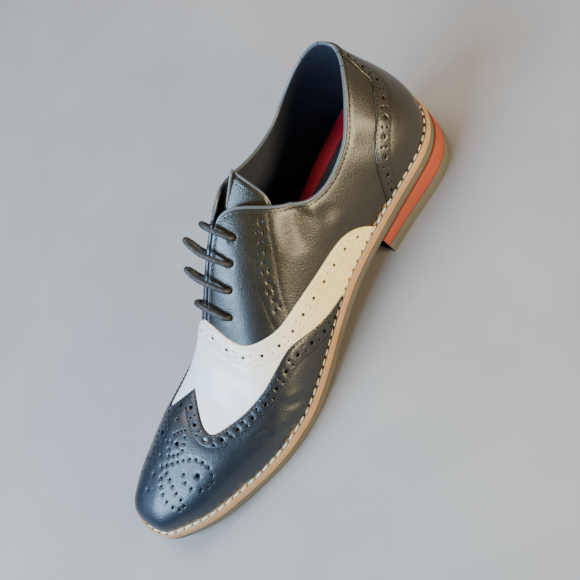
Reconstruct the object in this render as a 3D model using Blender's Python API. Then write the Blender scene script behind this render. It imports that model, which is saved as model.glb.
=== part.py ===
"""Spectator wingtip shoe for the left foot, as an assembly of its maker's pieces.

The toe points along -Y, the lateral side along +X, and the sole stands on z = 0.
A place round the shoe is w: 0 at the heel's back, 1 at the toe's tip by way of the
lateral side, 2 at the heel's back again by way of the medial side. A place up the
upper is t: 0 at the feather edge, where it meets the welt, 1 at the instep's ridge.
"""

import math

import bmesh
import bpy
import numpy as np
from mathutils import Matrix, Vector
from mathutils.geometry import delaunay_2d_cdt

MM = 0.001

# Driving sizes
LENGTH = 305 * MM
HEEL_WIDTH = 71 * MM
WAIST_WIDTH = 67 * MM
BALL_WIDTH = 90 * MM
HEEL_HEIGHT = 21.5 * MM
TOE_SPRING = 10 * MM
OUTSOLE = 5.5 * MM
MIDSOLE = 5 * MM
INSTEP_HEIGHT = 76 * MM
TOE_BOX_HEIGHT = 33.5 * MM

# Clearance between pieces that touch
GAP = 0.3 * MM

# Sole
SOLE_HALF = LENGTH / 2
HEEL_BREAST = 86 * MM
HEEL_TOP_PIECE = 9 * MM
HEEL_TAPER = 1.5 * MM
BREAST_HOLLOW = 4 * MM
OUTSOLE_UNDERCUT = 0.8 * MM
WELT_INSET_TOE = 5.2 * MM
WELT_INSET_WAIST = 3.6 * MM
WELT_INSET_HEEL = 3.2 * MM
WELT_ROUND = 0.9 * MM
GROOVE_IN = 1.6 * MM
GROOVE_WIDTH = 1.5 * MM
GROOVE_DEPTH = 0.7 * MM

# Upper
WALL = 1.8 * MM
OVERLAY = 1.0 * MM
WINGTIP = 1.9 * MM
BULGE = 5 * MM
RIDGE_OFFSET = 9.5 * MM
TOE_RIDGE = 43 * MM
POLE = LENGTH - TOE_RIDGE
POLE_BLEND = 20 * MM
CONE_FRONT = 100 * MM
CONE_BACK = 13 * MM
CONE_LATERAL = 21 * MM
CONE_MEDIAL = 28 * MM
CONE_SQUARENESS = 0.8
CONE_HEIGHT = 76 * MM

# Lacing
EYELET_COUNT = 4
EYELET_TOP = 131.5 * MM
EYELET_PITCH = 12.8 * MM
EYELET_LATERAL = 19.5 * MM
EYELET_MEDIAL = 16 * MM
EYELET_RADIUS = 2.6 * MM
LACE_DIAMETER = 3.2 * MM
THROAT = 0.59 * LENGTH

# Inside
INSOLE = 3 * MM
INSOLE_CLEARANCE = 0.5 * MM
TONGUE = 2 * MM
TONGUE_HALF_WIDTH = 24 * MM
TONGUE_TOP = 104 * MM
TONGUE_BEND = 128 * MM
TONGUE_ROOT = THROAT + 18 * MM
TONGUE_LACE_ROOM = 4.5 * MM

TONGUE_CORNER = 9 * MM
TONGUE_ROUNDING = 0.22
TONGUE_TAPER = 0.35
TONGUE_DEEPENS = 16 * MM

# Mesh density
COLUMNS = (4, 8, 10, 5, 15)
ROWS = 8
ROW_CROWDING = 1.15
SOLE_COLUMNS = 72
HEEL_COLUMNS = 21
BREAST_SHARES = (0.7, 0.35, 0.0)
CHART_STEP = 5 * MM
HEEL_CHART_WIDTH = 0.4
FEATHER_STEP = 0.03

# Room for the cuts that part the overlays
CUT_UNDER = 4 * MM
CUT_OVER = 8 * MM
BELOW_FEATHER = -0.06
WING_CLEARANCE = 1.2 * MM
WING_CLEARANCE_SHARE = 0.006

# Sole's edge: across as shares of half the width that the row follows
OUTLINE = [
    # heel-to-toe angle share, width that it follows, lateral, medial
    (0.00, "heel", 0.00, 0.00),
    (0.10, "heel", 0.68, -0.68),
    (0.20, "heel", 1.07, -0.96),
    (0.30, "heel", 1.04, -0.92),
    (0.40, "waist", 1.07, -0.85),
    (0.48, "waist", 1.15, -0.85),
    (0.56, "ball", 1.015, -0.77),
    (0.64, "ball", 1.02, -0.92),
    (0.72, "ball", 0.825, -0.895),
    (0.80, "ball", 0.61, -0.795),
    (0.88, "ball", 0.34, -0.625),
    (0.94, "ball", 0.135, -0.48),
    (1.00, "ball", -0.23, -0.23),
]

# Underside of the outsole from the side
SOLE_PROFILE = [
    # along, share of heel height, share of toe spring
    (0.000, 1.00, 0.00),
    (0.130, 0.965, 0.00),
    (0.256, 0.80, 0.00),
    (0.360, 0.685, 0.00),
    (0.490, 0.29, 0.00),
    (0.610, 0.04, 0.00),
    (0.660, -0.02, 0.00),
    (0.740, 0.00, -0.03),
    (0.800, 0.00, 0.07),
    (0.885, 0.00, 0.37),
    (0.950, 0.00, 0.70),
    (1.000, 0.00, 1.00),
]

# Ridge of the instep and toe from the side, above the feather edge
RIDGE_PROFILE = [
    # along, share of instep height, share of toe box height
    (0.290, 1.17, 0.00),
    (0.328, 1.135, 0.00),
    (0.410, 1.045, 0.00),
    (0.492, 0.92, 0.00),
    (0.607, 0.65, 0.00),
    (0.705, 0.00, 1.03),
    (0.787, 0.00, 0.96),
    (0.859, 0.00, 0.76),
    (1.000, 0.00, 0.30),
]

# How far the ridge stands to the medial side, as a share of RIDGE_OFFSET
RIDGE_SWING = [(0.328, 0.60), (0.492, 0.82), (0.656, 0.79), (0.859, 0.92)]

# Shape of the sections, lateral and medial in pairs
SECTIONS = [
    # angle, wall rise lateral, medial, bulge lateral, medial, crown reach lateral, medial, crown drop
    (0.00, 0.34, 0.34, 1.50, 1.50, -0.10, -0.10, 0.36),
    (0.12, 0.34, 0.34, 1.35, 1.30, -0.10, -0.10, 0.36),
    (0.25, 0.34, 0.38, 1.15, 1.20, 0.10, 0.20, 0.30),
    (0.38, 0.40, 0.50, 1.00, 1.30, 0.42, 0.62, 0.08),
    (0.50, 0.48, 0.50, 1.00, 1.20, 0.50, 0.55, 0.00),
    (0.62, 0.55, 0.50, 0.90, 0.95, 0.52, 0.49, 0.00),
    (0.74, 0.60, 0.54, 0.70, 0.70, 0.54, 0.50, 0.00),
    (0.86, 0.63, 0.58, 0.50, 0.50, 0.56, 0.53, 0.00),
    (1.00, 0.63, 0.63, 0.40, 0.40, 0.56, 0.56, 0.00),
]

# Opening's edge: drop below the ridge or the cone's rim, as a share of CONE_HEIGHT
OPENING = [
    # angle, lateral drop, medial drop
    (0.000, 0.100, 0.100),
    (0.060, 0.150, 0.150),
    (0.100, 0.210, 0.215),
    (0.140, 0.290, 0.295),
    (0.180, 0.375, 0.375),
    (0.220, 0.465, 0.445),
    (0.270, 0.566, 0.510),
    (0.330, 0.668, 0.530),
    (0.362, 0.675, 0.495),
    (0.385, 0.635, 0.430),
    (0.400, 0.550, 0.345),
    (0.413, 0.400, 0.240),
    (0.425, 0.240, 0.150),
    (0.435, 0.130, 0.090),
    (0.445, 0.065, 0.055),
    (0.460, 0.046, 0.046),
    (0.500, 0.040, 0.040),
    (1.000, 0.040, 0.040),
]
FACING_START = 0.455
FACING_GAP_TOP = 3.5 * MM
FACING_GAP_THROAT = 2.5 * MM

# Overlay edges: along as a share of LENGTH, distance from the ridge as a share of the section's girth
WING_EDGE = [
    # along, girth share
    (0.704, 0.000),
    (0.722, 0.070),
    (0.742, 0.160),
    (0.759, 0.255),
    (0.763, 0.345),
    (0.746, 0.395),
    (0.716, 0.445),
    (0.657, 0.535),
    (0.590, 0.620),
    (0.541, 0.700),
    (0.487, 0.850),
    (0.440, 0.945),
    (0.405, 1.000),
    (0.390, 1.060),
]
VAMP_EDGE = [
    (0.583, 0.000),
    (0.586, 0.100),
    (0.590, 0.190),
    (0.591, 0.280),
    (0.584, 0.385),
    (0.562, 0.490),
    (0.530, 0.590),
    (0.490, 0.660),
    (0.440, 0.727),
    (0.388, 0.778),
    (0.340, 0.810),
    (0.308, 0.845),
    (0.288, 0.900),
    (0.274, 0.980),
    (0.268, 1.060),
]
COUNTER_EDGE = [
    # angle round the heel, place up the section
    (0.056, 0.840),
    (0.062, 0.745),
    (0.080, 0.650),
    (0.095, 0.570),
    (0.130, 0.522),
    (0.170, 0.470),
    (0.216, 0.405),
    (0.262, 0.290),
    (0.286, 0.190),
    (0.302, 0.085),
    (0.311, 0.000),
    (0.315, -0.060),
]

COLOURS = {
    # name: colour, roughness
    "black_leather": ((0.022, 0.024, 0.028), 0.38),
    "white_leather": ((0.82, 0.80, 0.72), 0.42),
    "tan_welt": ((0.50, 0.30, 0.15), 0.55),
    "grey_rubber": ((0.15, 0.145, 0.115), 0.65),
    "red_heel": ((0.46, 0.10, 0.05), 0.55),
    "insole_lining": ((0.03, 0.03, 0.035), 0.7),
    "lace_cord": ((0.035, 0.035, 0.035), 0.75),
}


def spline(points):
    """Natural cubic spline through (x, y) rows, straight beyond its ends."""
    xs, ys = np.array(points, float).T
    count, step = len(xs), np.diff(xs)
    matrix, right = np.eye(count), np.zeros(count)
    for i in range(1, count - 1):
        matrix[i, i - 1 : i + 2] = step[i - 1], 2 * (step[i - 1] + step[i]), step[i]
        right[i] = 6 * ((ys[i + 1] - ys[i]) / step[i] - (ys[i] - ys[i - 1]) / step[i - 1])
    bend = np.linalg.solve(matrix, right)

    def value(x):
        x = np.asarray(x, float)
        i = np.clip(np.searchsorted(xs, x) - 1, 0, count - 2)
        h, before, after = step[i], x - xs[i], xs[i + 1] - x
        inside = np.clip(x, xs[0], xs[-1])
        before, after = np.clip(before, 0, h), np.clip(after, 0, h)
        curve = (bend[i] * after**3 + bend[i + 1] * before**3) / (6 * h)
        line = (ys[i] / h - bend[i] * h / 6) * after + (ys[i + 1] / h - bend[i + 1] * h / 6) * before
        low = (ys[1] - ys[0]) / step[0] - step[0] * bend[1] / 6
        high = (ys[-1] - ys[-2]) / step[-1] + step[-1] * bend[-2] / 6
        return curve + line + np.where(x < inside, low, high) * (x - inside)

    return value


def round_spline(angles, lateral, medial):
    """Spline round the shoe in w, from shares given up each side."""
    angles = list(angles)
    ws = angles + [2 - a for a in angles[-2::-1]]
    values = list(lateral) + list(medial)[-2::-1]
    before = [(w - 2, v) for w, v in zip(ws[-4:-1], values[-4:-1])]
    after = [(w + 2, v) for w, v in zip(ws[1:4], values[1:4])]
    return spline(before + list(zip(ws, values)) + after)


def side_angle(w):
    """Heel-to-toe angle share of a place round the shoe, the same for both sides."""
    w = np.mod(w, 2)
    return np.where(w > 1, 2 - w, w)


def along_of(angle):
    """Distance from the heel's back to a heel-to-toe angle share."""
    return LENGTH * (1 - np.cos(np.pi * angle)) / 2


def angle_of(along):
    """Heel-to-toe angle share at a distance from the heel's back."""
    return np.arccos(np.clip(1 - 2 * np.asarray(along, float) / LENGTH, -1, 1)) / np.pi


def smooth_step(x, low, high):
    share = np.clip((x - low) / (high - low), 0, 1)
    return share * share * (3 - 2 * share)


WIDTHS = {"heel": HEEL_WIDTH / 2, "waist": WAIST_WIDTH / 2, "ball": BALL_WIDTH / 2}
edge_across = round_spline(
    [row[0] for row in OUTLINE],
    [row[2] * WIDTHS[row[1]] for row in OUTLINE],
    [row[3] * WIDTHS[row[1]] for row in OUTLINE],
)
profile_height = spline([(a * LENGTH, h * HEEL_HEIGHT + t * TOE_SPRING) for a, h, t in SOLE_PROFILE])
ridge_above = spline([(a * LENGTH, i * INSTEP_HEIGHT + t * TOE_BOX_HEIGHT) for a, i, t in RIDGE_PROFILE])
ridge_across = spline([(a * LENGTH, -share * RIDGE_OFFSET) for a, share in RIDGE_SWING])
welt_inset = round_spline(
    (0.0, 0.25, 0.5, 0.75, 1.0),
    (WELT_INSET_HEEL, WELT_INSET_HEEL, WELT_INSET_WAIST, WELT_INSET_TOE, WELT_INSET_TOE),
    (WELT_INSET_HEEL, WELT_INSET_HEEL, WELT_INSET_WAIST, WELT_INSET_TOE, WELT_INSET_TOE),
)
SECTION_ANGLES = [row[0] for row in SECTIONS]
wall_rise, wall_bulge, crown_reach, crown_drop = (
    round_spline(SECTION_ANGLES, [row[i] for row in SECTIONS], [row[j] for row in SECTIONS])
    for i, j in ((1, 2), (3, 4), (5, 6), (7, 7))
)


def sole_edge(w, inset=0.0):
    """Along and across of the sole's edge at w, moved in by inset."""
    w = np.asarray(w, float)
    step = 1e-4
    a0, x0 = along_of(w - step), edge_across(np.mod(w - step, 2))
    a1, x1 = along_of(w + step), edge_across(np.mod(w + step, 2))
    run = np.hypot(a1 - a0, x1 - x0)
    out_along, out_across = -(x1 - x0) / run, (a1 - a0) / run
    along, across = along_of(w), edge_across(np.mod(w, 2))
    return along - out_along * inset, across - out_across * inset, out_along, out_across


def sole_bottom(along):
    """Height of the outsole's underside, flat on the floor under the ball."""
    return np.maximum(profile_height(along), 0.0)


def welt_top(along):
    return sole_bottom(along) + OUTSOLE + GAP + MIDSOLE


def ridge_height(along):
    return welt_top(along) + ridge_above(along)


CONE_ANGLE = float(angle_of(CONE_FRONT))
CONE_END = 0.05

# Highest place up a rib where its normal is taken, and how the ridge's normals are levelled
TOP_SHARE = 0.985
RIDGE_SHARE = 0.97
RIDGE_LEAN = 0.3


def rib_top(w):
    """Upper end of the rib at w: on the ridge, or on the rim of the last's cone."""
    angle, side = side_angle(w), np.where(np.mod(w, 2) > 1, -1.0, 1.0)
    foot = along_of(angle)
    share = np.clip(0.5 + (POLE - foot) / (2 * POLE_BLEND), 0, 1)
    on_ridge = POLE * (1 - share) + foot * share - POLE_BLEND * share * (1 - share)
    round_cone = np.clip(angle / CONE_ANGLE, 0, 1)
    middle, half = (CONE_FRONT + CONE_BACK) / 2, (CONE_FRONT - CONE_BACK) / 2
    on_cone = middle - half * np.cos(np.pi * round_cone)
    half_width = np.where(side > 0, CONE_LATERAL, -CONE_MEDIAL)
    oval = np.maximum(np.sin(np.pi * round_cone), 0.0) ** CONE_SQUARENESS
    cone_across = half_width * oval + ridge_across(CONE_FRONT) * round_cone
    inside = angle < CONE_ANGLE
    along = np.where(inside, on_cone, on_ridge)
    across = np.where(inside, cone_across, ridge_across(on_ridge))
    rim = welt_top(0.0) + CONE_HEIGHT
    front = ridge_height(CONE_FRONT)
    cone_rim = rim + (front - rim) * smooth_step(round_cone, 0.5, 1.0)
    return along, across, np.where(inside, cone_rim, ridge_height(on_ridge))


def rib(w):
    """The four control points of the Bezier rib at each w: feather, wall, crown and top."""
    w = np.atleast_1d(np.asarray(w, float))
    foot_along, foot_across, out_along, out_across = sole_edge(w, welt_inset(np.mod(w, 2)))
    foot_height = welt_top(foot_along) + GAP
    top_along, top_across, top_height = rib_top(w)
    rise = top_height - foot_height
    wrapped = np.mod(w, 2)
    bulge = BULGE * wall_bulge(wrapped)
    reach = crown_reach(wrapped)
    slope = (ridge_height(top_along + MM) - ridge_height(top_along - MM)) / (2 * MM)
    slope = slope * smooth_step(side_angle(w), CONE_ANGLE, CONE_ANGLE + 2 * CONE_END)
    back = (foot_along - top_along) * reach
    drop = np.maximum(crown_drop(wrapped), 0) * rise
    feather = np.stack([foot_across, foot_along, foot_height], -1)
    wall = feather + np.stack([out_across * bulge, out_along * bulge, wall_rise(wrapped) * rise], -1)
    top = np.stack([top_across, top_along, top_height], -1)
    crown = top + np.stack([(foot_across - top_across) * reach, back, slope * back - drop], -1)
    return np.stack([feather, wall, crown, top], 1)


def bezier_shares(t):
    """What each control point adds at t."""
    return np.stack([(1 - t) ** 3, 3 * t * (1 - t) ** 2, 3 * t * t * (1 - t), t**3], -1)


def last_point(w, t):
    """Points of the last's surface, in metres, for matching arrays of w and t."""
    point = np.einsum("nk,nkd->nd", bezier_shares(np.asarray(t, float)), rib(w))
    point[:, 1] = SOLE_HALF - point[:, 1]
    return point


def last_normal(w, t):
    """Unit normals of the last's surface, pointing out, close to upright along the ridge."""
    step = 2e-3
    w, t = np.asarray(w, float), np.clip(np.asarray(t, float), 2 * step, TOP_SHARE)
    round_way = last_point(w + step, t) - last_point(w - step, t)
    up_way = last_point(w, t + step) - last_point(w, t - step)
    normal = np.cross(up_way, round_way)
    near_ridge = (t > RIDGE_SHARE) & (side_angle(w) > CONE_ANGLE + CONE_END)
    normal[near_ridge, 0] *= RIDGE_LEAN
    return normal / np.linalg.norm(normal, axis=1)[:, None]


def girth(w):
    """Length of the rib at each w."""
    points = np.einsum("sk,nkd->snd", bezier_shares(np.linspace(0, 1, 25)), rib(w))
    return np.linalg.norm(np.diff(points, axis=0), axis=2).sum(0)


THROAT_ANGLE = float(angle_of(THROAT))
CLOSED_FROM = THROAT_ANGLE - 1e-6
opening_drop = round_spline(
    [row[0] for row in OPENING],
    [row[1] * CONE_HEIGHT for row in OPENING],
    [row[2] * CONE_HEIGHT for row in OPENING],
)


def opening(w):
    """How far up the rib the upper's edge lies: 1 where it is closed over the ridge."""
    angle = side_angle(w)
    wrapped = np.mod(np.asarray(w, float), 2)
    run = np.clip((angle - FACING_START) / (THROAT_ANGLE - FACING_START), 0, 1)
    gap = FACING_GAP_TOP + (FACING_GAP_THROAT - FACING_GAP_TOP) * run
    drop = np.where(angle < FACING_START, opening_drop(wrapped), gap)
    return np.where(angle >= CLOSED_FROM, 1.0, 1 - drop / girth(w))


def column_places():
    """Places of the upper's columns up the lateral side, closest where its opening turns."""
    turns = (0.0, 0.09, 0.37, FACING_START, THROAT_ANGLE, 1.0)
    places = [0.0]
    for low, high, count in zip(turns, turns[1:], COLUMNS):
        places += list(np.linspace(low, high, count + 1)[1:])
    return np.array(places)


def closed_mesh(name, points, faces, colour):
    """A mesh object from points and faces, welded, triangulated and facing out."""
    mesh = bpy.data.meshes.new(name)
    mesh.from_pydata([tuple(p) for p in points], [], [tuple(int(i) for i in f) for f in faces])
    work = bmesh.new()
    work.from_mesh(mesh)
    bmesh.ops.remove_doubles(work, verts=work.verts, dist=0.00001)
    bmesh.ops.dissolve_degenerate(work, edges=work.edges, dist=0.000005)
    bmesh.ops.triangulate(work, faces=work.faces)
    bmesh.ops.recalc_face_normals(work, faces=work.faces)
    if work.calc_volume(signed=True) < 0:
        bmesh.ops.reverse_faces(work, faces=work.faces)
    work.to_mesh(mesh)
    work.free()
    mesh.materials.append(material(colour))
    mesh.shade_smooth()
    mesh.set_sharp_from_angle(angle=math.radians(35))
    made = bpy.data.objects.new(name, mesh)
    bpy.context.scene.collection.objects.link(made)
    return made


def material(name):
    found = bpy.data.materials.get(name)
    if found:
        return found
    colour, roughness = COLOURS[name]
    made = bpy.data.materials.new(name)
    made.use_nodes = True
    shader = made.node_tree.nodes["Principled BSDF"]
    shader.inputs["Base Color"].default_value = (*colour, 1)
    shader.inputs["Roughness"].default_value = roughness
    shader.inputs["Metallic"].default_value = 0.0
    return made


def boolean(target, cutter, operation):
    """Applies a Boolean to target with cutter, and removes the cutter."""
    modifier = target.modifiers.new(operation.lower(), "BOOLEAN")
    modifier.object, modifier.operation, modifier.solver = cutter, operation, "EXACT"
    bpy.context.view_layer.update()
    graph = bpy.context.evaluated_depsgraph_get()
    result = bpy.data.meshes.new_from_object(target.evaluated_get(graph))
    target.modifiers.clear()
    old = target.data
    target.data = result
    result.name = old.name
    bpy.data.meshes.remove(old)
    bpy.data.objects.remove(cutter)
    work = bmesh.new()
    work.from_mesh(result)
    bmesh.ops.remove_doubles(work, verts=work.verts, dist=0.00001)
    bmesh.ops.dissolve_degenerate(work, edges=work.edges, dist=0.000005)
    bmesh.ops.triangulate(work, faces=work.faces)
    work.to_mesh(result)
    work.free()
    return target


def plate(name, rings, colour):
    """A solid from rings of equal count stacked from its underside to its top, with ladder caps.

    Ring points run from one end round to its start, so that point i and point -i face each other.
    """
    count = len(rings[0])
    points = np.concatenate(rings)
    faces = []
    for level in range(len(rings) - 1):
        base = level * count
        for i in range(count):
            j = (i + 1) % count
            faces.append((base + i, base + j, base + count + j, base + count + i))
    for base in (0, (len(rings) - 1) * count):
        for i in range(count // 2):
            ends = (base + i, base + i + 1, base + (count - i - 1) % count, base + (count - i) % count)
            faces.append(list(dict.fromkeys(ends)))
    return closed_mesh(name, points, faces, colour)


def sole_ring(inset, height):
    """A ring round the whole sole at an inset, its height from a function of along."""
    w = np.linspace(0, 2, SOLE_COLUMNS, endpoint=False)
    along, across, _, _ = sole_edge(w, inset)
    return np.stack([across, SOLE_HALF - along, height(along)], -1)


def make_outsole():
    """Grey rubber sole, flat under the ball, with an undercut lower edge."""
    rings = [
        sole_ring(OUTSOLE_UNDERCUT + WELT_ROUND, sole_bottom),
        sole_ring(OUTSOLE_UNDERCUT, lambda a: sole_bottom(a) + WELT_ROUND),
        sole_ring(0.0, lambda a: sole_bottom(a) + OUTSOLE - WELT_ROUND),
        sole_ring(GAP, lambda a: sole_bottom(a) + OUTSOLE),
    ]
    return plate("outsole", rings, "grey_rubber")


def make_midsole():
    """Tan midsole whose rim is the stitched welt, with the groove that the stitches lie in."""

    def top(lower=0.0):
        return lambda a: welt_top(a) - lower

    rings = [
        sole_ring(GAP, lambda a: sole_bottom(a) + OUTSOLE + GAP),
        sole_ring(0.0, lambda a: sole_bottom(a) + OUTSOLE + GAP + WELT_ROUND),
        sole_ring(0.0, top(WELT_ROUND)),
        sole_ring(WELT_ROUND, top()),
        sole_ring(GROOVE_IN, top()),
        sole_ring(GROOVE_IN + GROOVE_DEPTH / 2, top(GROOVE_DEPTH)),
        sole_ring(GROOVE_IN + GROOVE_WIDTH - GROOVE_DEPTH / 2, top(GROOVE_DEPTH)),
        sole_ring(GROOVE_IN + GROOVE_WIDTH, top()),
    ]
    return plate("midsole_welt", rings, "tan_welt")


def heel_ring(inset, height):
    """A ring round the heel, closed by its hollow breast."""
    w = np.linspace(0, float(angle_of(HEEL_BREAST)), HEEL_COLUMNS)
    sides = []
    for places, side in ((w, 1), (2 - w, -1)):
        along, across, _, _ = sole_edge(places, inset)
        half = (sole_edge(w[-1], inset)[1] - sole_edge(2 - w[-1], inset)[1]) / 2
        points = list(zip(across, along))
        for share in BREAST_SHARES:
            hollow = BREAST_HOLLOW * (1 - share**2)
            points.append((across[-1] - side * half * (1 - share), along[-1] - hollow))
        sides.append(points)
    outline = np.array(sides[0] + sides[1][-2:0:-1])
    return np.stack([outline[:, 0], SOLE_HALF - outline[:, 1], height(outline[:, 1])], -1)


def make_heel_lift():
    """Red stacked layer between the outsole and the top piece."""
    middle = HEEL_TOP_PIECE + GAP
    taper = HEEL_TAPER * HEEL_TOP_PIECE / HEEL_HEIGHT
    rings = [
        heel_ring(taper + GAP, lambda a: np.full_like(a, middle)),
        heel_ring(taper, lambda a: np.full_like(a, middle + WELT_ROUND / 2)),
        heel_ring(0.0, lambda a: sole_bottom(a) - GAP - WELT_ROUND / 2),
        heel_ring(GAP, lambda a: sole_bottom(a) - GAP),
    ]
    return plate("heel_lift", rings, "red_heel")


def make_heel_top_piece():
    """Grey rubber layer that the heel stands on."""
    taper = HEEL_TAPER * HEEL_TOP_PIECE / HEEL_HEIGHT
    rings = [
        heel_ring(HEEL_TAPER + WELT_ROUND, lambda a: np.zeros_like(a)),
        heel_ring(HEEL_TAPER, lambda a: np.full_like(a, WELT_ROUND)),
        heel_ring(taper, lambda a: np.full_like(a, HEEL_TOP_PIECE - WELT_ROUND / 2)),
        heel_ring(taper + GAP, lambda a: np.full_like(a, HEEL_TOP_PIECE)),
    ]
    return plate("heel_top_piece", rings, "grey_rubber")


def make_insole():
    """Footbed that fills the bottom of the upper."""
    w = np.linspace(0, 2, SOLE_COLUMNS, endpoint=False)
    inset = welt_inset(w) + WALL + INSOLE_CLEARANCE
    rings = [
        sole_ring(inset, lambda a: welt_top(a) + GAP),
        sole_ring(inset, lambda a: welt_top(a) + GAP + INSOLE - WELT_ROUND),
        sole_ring(inset + WELT_ROUND, lambda a: welt_top(a) + GAP + INSOLE),
    ]
    return plate("insole", rings, "insole_lining")


def shell(name, low, high, colour):
    """The last's surface as a hollow solid between two offsets, open at the collar and underneath."""
    lateral = column_places()
    places = np.concatenate([lateral, 2 - lateral[-2:0:-1]])
    count = len(places)
    edge = opening(places)
    points, index = [], {}
    for layer, offset in enumerate((high, low)):
        for row in range(ROWS + 1):
            # rows stand closer together low on the wall, where it turns fastest
            t = edge * (row / ROWS) ** ROW_CROWDING
            normal = last_normal(places, t)
            closed = (t > 0.999) & (side_angle(places) >= CLOSED_FROM)
            found = last_point(places, t) + normal * offset
            if row == 0:
                found[:, 2] = welt_top(SOLE_HALF - found[:, 1]) + GAP
            for i in range(count):
                partner = (count - i) % count
                if closed[i]:
                    mate = last_normal(places[[i, partner]], t[[i, partner]]).sum(0)
                    mate /= np.linalg.norm(mate)
                    found[i] = last_point(places[i : i + 1], t[i : i + 1])[0] + mate * offset
                index[layer, row, i] = len(points)
                points.append(found[i])
    faces = []
    for i in range(count):
        j = (i + 1) % count
        for row in range(ROWS):
            for layer in (0, 1):
                low = [index[layer, row, i], index[layer, row, j]]
                faces.append(low + [index[layer, row + 1, j], index[layer, row + 1, i]])
        rims = [0, ROWS] if edge[i] < 1 or edge[j] < 1 else [0]
        for row in rims:
            faces.append([index[0, row, i], index[0, row, j], index[1, row, j], index[1, row, i]])
    return closed_mesh(name, points, faces, colour)


def chart(w, t):
    """Flat pattern of the upper: across is the girth from the ridge, along runs heel to toe."""
    control = rib(w)
    spread = control[:, 0, :2] - control[:, 3, :2]
    angle = side_angle(w)
    side = np.where(np.mod(w, 2) > 1, -1.0, 1.0)
    straight = np.stack([side, np.zeros(len(w))], -1)
    ahead = smooth_step(angle, 0.5, 0.62)[:, None]
    spread[:, 1] = np.maximum(spread[:, 1], 0)
    direction = straight * (1 - ahead) + spread / np.linalg.norm(spread, axis=1)[:, None] * ahead
    direction /= np.linalg.norm(direction, axis=1)[:, None]
    start = np.where(angle < CONE_ANGLE + CONE_END, along_of(angle), control[:, 3, 1])
    reach = ((1 - np.asarray(t)) * girth(w))[:, None]
    return np.stack([np.zeros(len(w)), start], -1) + direction * reach


def heel_chart(w, t):
    """Flat pattern of the heel: across runs round it and along runs up it."""
    round_heel = np.mod(np.asarray(w, float) + 0.5, 2) - 0.5
    return np.stack([round_heel * HEEL_CHART_WIDTH, np.asarray(t) * girth(w)], -1)


def inside(points, outline):
    """Which points lie in a closed outline."""
    x, y = points[:, 0][:, None], points[:, 1][:, None]
    x0, y0 = outline.T
    x1, y1 = np.roll(x0, -1), np.roll(y0, -1)
    crosses = (y0 > y) != (y1 > y)
    at = (x1 - x0) * (y - y0) / np.where(y1 == y0, 1e-12, y1 - y0) + x0
    return (crosses & (x < at)).sum(1) % 2 == 1


def cutter(name, outline, flat, low, high, rows=14):
    """A slab round the last's surface inside an outline of (w, t) points, to cut overlays with."""
    outline = np.array(outline)
    edge_flat = flat(outline[:, 0], outline[:, 1])
    w, t = np.meshgrid(np.linspace(-1, 1, 121)[:-1], np.linspace(0.0, 1.0, rows), indexing="ij")
    w, t = w.ravel(), t.ravel()
    grid_flat = flat(w, t)
    keep = inside(grid_flat, edge_flat)
    gap = np.linalg.norm(grid_flat[:, None] - edge_flat[None], axis=2).min(1)
    keep &= gap > CHART_STEP / 2
    w, t, grid_flat = w[keep], t[keep], grid_flat[keep]
    _, first = np.unique(np.round(grid_flat / (0.2 * MM)), axis=0, return_index=True)
    all_w, all_t = np.r_[outline[:, 0], w[first]], np.r_[outline[:, 1], t[first]]
    flat_points = [Vector(p) for p in np.concatenate([edge_flat, grid_flat[first]])]
    count = len(outline)
    ring = [(i, (i + 1) % count) for i in range(count)]
    found = delaunay_2d_cdt(flat_points, ring, [list(range(count))], 1, 1e-7)
    triangles, origin = found[2], [o[0] for o in found[3]]
    base, normal = last_point(all_w, all_t), last_normal(all_w, all_t)
    base, normal = base[origin], normal[origin]
    size = len(base)
    points = np.concatenate([base + normal * high, base + normal * low])
    faces = [tuple(f) for f in triangles]
    faces += [tuple(i + size for i in reversed(f)) for f in triangles]
    edges = {}
    for f in triangles:
        for i, j in zip(f, list(f[1:]) + [f[0]]):
            edges[i, j] = True
    faces += [(j, i, i + size, j + size) for i, j in edges if (j, i) not in edges]
    return closed_mesh(name, points, faces, "black_leather")


def edge_curve(table, side, samples=3):
    """An overlay's edge on one side, as (w, t) points, smooth between its rows."""
    count = len(table)
    along = spline([(i, row[0] * LENGTH) for i, row in enumerate(table)])
    share = spline([(i, row[1]) for i, row in enumerate(table)])
    steps = np.linspace(0, count - 1, (count - 1) * samples + 1)
    angle = angle_of(along(steps))
    w = angle if side > 0 else 2 - angle
    return list(zip(w, 1 - share(steps)))


def feather_run(start, stop):
    """Points just under the feather edge from one place round the shoe to another."""
    count = max(2, int(abs(stop - start) / FEATHER_STEP))
    return [(w, BELOW_FEATHER) for w in np.linspace(start, stop, count + 1)[1:-1]]


def wing_outline():
    lateral, medial = edge_curve(WING_EDGE, 1), edge_curve(WING_EDGE, -1)
    return lateral + feather_run(lateral[-1][0], medial[-1][0]) + medial[:0:-1]


def vamp_outline():
    """The white vamp: up to its own edge, and down to the wingtip's edge less the clearance."""
    lateral, medial = edge_curve(VAMP_EDGE, 1), edge_curve(VAMP_EDGE, -1)
    front = []
    for w, t in edge_curve(WING_EDGE, 1)[::-1] + edge_curve(WING_EDGE, -1)[1:]:
        angle = float(side_angle(w)) - WING_CLEARANCE / LENGTH
        lift = WING_CLEARANCE_SHARE if t < RIDGE_SHARE else 0.0
        front.append((angle if w <= 1 else 2 - angle, t + lift))
    left_foot = feather_run(lateral[-1][0], front[0][0])
    right_foot = feather_run(front[-1][0], medial[-1][0])
    return lateral + left_foot + front + right_foot + medial[:0:-1]


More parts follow.
